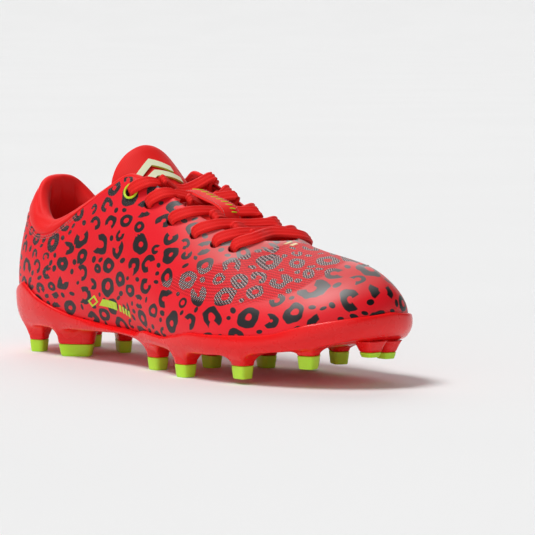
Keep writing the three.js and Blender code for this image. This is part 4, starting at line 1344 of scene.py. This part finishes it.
def build_lace():
    """One flat lace from inside one quarter to inside the other, narrower in its eyelets and out of sight."""
    route = [*lace_half(0)[::-1], np.array(BAR_MIDDLE), *lace_half(1)]
    path, run = resample(centripetal(route, PATH_STEPS), LACE_PITCH)
    ats = np.array([hole["at"] for hole in HOLES[0] + HOLES[1]])
    near = np.min(np.linalg.norm(path[:, None] - ats[None], axis=2), axis=1)
    pinch = np.exp(-(near / PINCH_REACH) ** 2)
    hidden = smooth(-1.2, -3.5, np.array([inside_of(q) for q in path]))
    widths = LACE_WIDTH - 1.1 * pinch - 1.8 * hidden
    thicks = LACE_THICK + 0.5 * pinch - 0.2 * hidden
    ribs, across = flat_cord(path, widths, thicks, THROAT_SLOPE)
    fields = {"run": np.broadcast_to(run[:, None], across.shape), "across": across}
    shape = loft(ribs, ring=True, caps=True)
    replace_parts(make("lace_flat", shape, "shoe", "lace", 0, fields), "lace")


def inside_of(q):
    """Height of a point over the nearest throat side: below 0 it is inside the shoe."""
    best, height = 1e9, 0
    for hole in HOLES[0] + HOLES[1]:
        gap = q - hole["at"]
        reach = np.linalg.norm(gap)
        if reach < best and gap @ hole["inwards"] < EYELET_MARGIN:
            best, height = reach, gap @ hole["normal"]
    return height if best < 24 else 0


KEEPER_START, KEEPER_END = -7.2, 28.8  # x
KEEPER_RISE = 3.6  # run in which it climbs over the laces
KEEPER_LIFT = UPPER_CROWN + 1.7
KEEPER_SEAM = 4.9  # from its middle
KEEPER_DASHES = 12


def build_keeper():
    """The band that holds the crossed laces to the tongue, with stitched edges and slanted dashes."""
    line = [(KEEPER_START, 0, tongue_height(KEEPER_START) + 0.6)]
    for x in (KEEPER_START + KEEPER_RISE, (KEEPER_START + KEEPER_END) / 2, KEEPER_END - KEEPER_RISE):
        line.append((x, 0, crown_height(x) + KEEPER_LIFT))
    line.append((KEEPER_END, 0, tongue_height(KEEPER_END) + 0.6))
    path = centripetal(line, 10)
    turn = circle(32)
    a, b = squarish(np.cos(turn), 0.3), squarish(np.sin(turn), 0.5)
    section = np.stack([0 * a, a * BAND_WIDTH / 2, b * 0.5 + 0.5 - 0.9 * np.abs(a) ** 3], 1)
    shape = loft(path[:, None] + section, ring=True, caps=True)
    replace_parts(make("lace_keeper_band", shape, "shoe", "tongue"), "lace_keeper")
    for name, y in (("lateral", -KEEPER_SEAM), ("medial", KEEPER_SEAM)):
        stitches(f"keeper_stitch_{name}", path + [0, y, 0.62], 1.8, 0.22)
    at = np.linspace(6, len(path) - 8, KEEPER_DASHES)
    crest = read_path(path, range(len(path)), at) + [0, 1.2, 0.95]
    dashes = [capsule(q + [-0.7, -1.7, 0.1], q + [0.9, 1.7, -0.2], 0.42) for q in crest]
    make("keeper_dashes", joined(dashes), "shoe", "ring")


def build_rings():
    """Lime rings round the top eyelets."""
    tube = circle(14)
    reach = (RING_RADIUS + 0.65 * np.cos(tube))[:, None]
    rise = (0.75 + 0.55 * np.sin(tube))[:, None]
    for name, hole in (("lateral", HOLES[0][-1]), ("medial", HOLES[1][-1])):
        side = np.cross(hole["normal"], hole["inwards"])
        outs = [hole["inwards"] * math.cos(angle) + side * math.sin(angle) for angle in circle(40)]
        ribs = [hole["at"] + out * reach + hole["normal"] * rise for out in outs]
        shape = loft(np.array(ribs), around=True, ring=True)
        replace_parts(make(f"ring_{name}", shape, "shoe", "ring"), f"eyelet_ring_{name}")


def on_wall(s, u, offset, turn=0.0):
    """Turns flat (along, up) millimetres round a point of the last into points at an offset."""
    h = 0.02
    along_step = np.linalg.norm(last_point(s + h, u) - last_point(s - h, u)) / (2 * h)
    up_step = np.linalg.norm(last_point(s, u + h) - last_point(s, u - h)) / (2 * h)
    cos, sin = math.cos(turn), math.sin(turn)

    def place(flat, lift=0.0):
        flat = np.asarray(flat, float)
        flat = flat[..., :1] * [cos, sin] + flat[..., 1:] * [-sin, cos]
        level = np.full(flat.shape[:-1], offset + lift)
        return wall(s + flat[..., 0] / along_step, u + flat[..., 1] / up_step, level)

    return place


def frame_patch(place, corners, width):
    """A closed band along a polygon's inside."""
    corners = np.array(corners, float)
    middle = corners.mean(0)
    inner = middle + (corners - middle) * (1 - width)
    parts = []
    for k in range(len(corners)):
        j = (k + 1) % len(corners)
        parts += raised_patch(place, [corners[k], corners[j], inner[j], inner[k]])
    return parts


def build_badges():
    """A plain badge low on the lateral quarter and a small one where the throat ends."""
    place = on_wall(4.55, 0.205, 0.02, math.radians(-13))
    parts = frame_patch(place, [(-13, 0), (-11, -3.6), (-9, 0), (-11, 3.6)], 0.34)
    parts += raised_patch(place, [(-8.4, -2), (4, -2), (4, 2), (-7, 2)], cuts=8)
    for x in (6, 8.6, 11.2, 13.8):
        parts += raised_patch(place, [(x, -1.7), (x + 1.5, -1.7), (x + 1.5, 1.7), (x, 1.7)], cuts=3)
    place = on_wall(9.12, 0.93, 0.02)
    marks = []
    for x in (-3.4, 0.2):
        marks += raised_patch(place, [(x, -2), (x + 1.8, -2), (x + 3.2, 2), (x + 1.4, 2)])
    make("quarter_badge", joined(parts), "shoe", "ring")
    make("vamp_badge", joined(marks), "shoe", "mark")


# ---- Stage ----
CAMERA_PLACE = Vector((1.2026, -1.0089, 0.1787))  # metres
CAMERA_TARGET = Vector((0.0230, 0.0276, 0.0506))
CAMERA_LENS = 206.8
BEHIND = math.radians(50)  # the way that the paper rises, from +Y towards -X
SUNS = [  # the way towards each, its strength and its width in degrees
    ("key", (-0.12, -0.38, 0.9), 2.2, 24),
    ("back", (-0.6, 0.5, 0.6), 0.75, 40),
    ("fill", (0.45, -0.8, 0.3), 0.6, 70),
]
SKY = 0.16


def build_stage():
    """A wide sheet of pale paper that bends up far behind the shoe. Its lengths are in metres."""
    bend = [(14 + 6 * math.sin(a), 6 - 6 * math.cos(a)) for a in np.linspace(0, math.pi / 4, 10)]
    back = np.array([-math.sin(BEHIND), math.cos(BEHIND), 0])
    side = np.array([back[1], -back[0], 0])
    section = [back * a + [0, 0, b] for a, b in [(-12, 0), (0, 0), *bend, (34, 17.5)]]
    ribs = np.array([[q + side * w for q in section] for w in (-14, 14)])
    make("stage_floor", loft(ribs / MM), None, "paper")


def build_lights():
    for name, towards, strength, width in SUNS:
        light = bpy.data.lights.new(name, "SUN")
        light.energy = strength
        light.angle = math.radians(width)
        place_in_scene(name, light).rotation_euler = Vector(towards).to_track_quat("Z", "Y").to_euler()
    world = bpy.data.worlds.new("studio")
    world.use_nodes = True
    sky = world.node_tree.nodes["Background"].inputs
    sky["Color"].default_value = (1, 1, 1, 1)
    sky["Strength"].default_value = SKY
    bpy.context.scene.world = world
    bpy.context.scene.view_settings.view_transform = "Standard"


def build_camera():
    camera = bpy.data.cameras.new("camera")
    camera.sensor_width = 36
    camera.lens = CAMERA_LENS
    camera.clip_start, camera.clip_end = 0.1, 30
    obj = place_in_scene("camera", camera)
    obj.location = CAMERA_PLACE
    obj.rotation_euler = (CAMERA_TARGET - CAMERA_PLACE).to_track_quat("-Z", "Y").to_euler()
    bpy.context.scene.camera = obj


build_camera()
build_upper()
build_lining()
build_collar()
build_collar_stitches()
build_outsole()
build_tips()
build_sockliner()
dress_plain_pieces()
build_tongue()
build_emblem()
build_lace()
build_keeper()
build_rings()
build_badges()
build_stage()
build_lights()
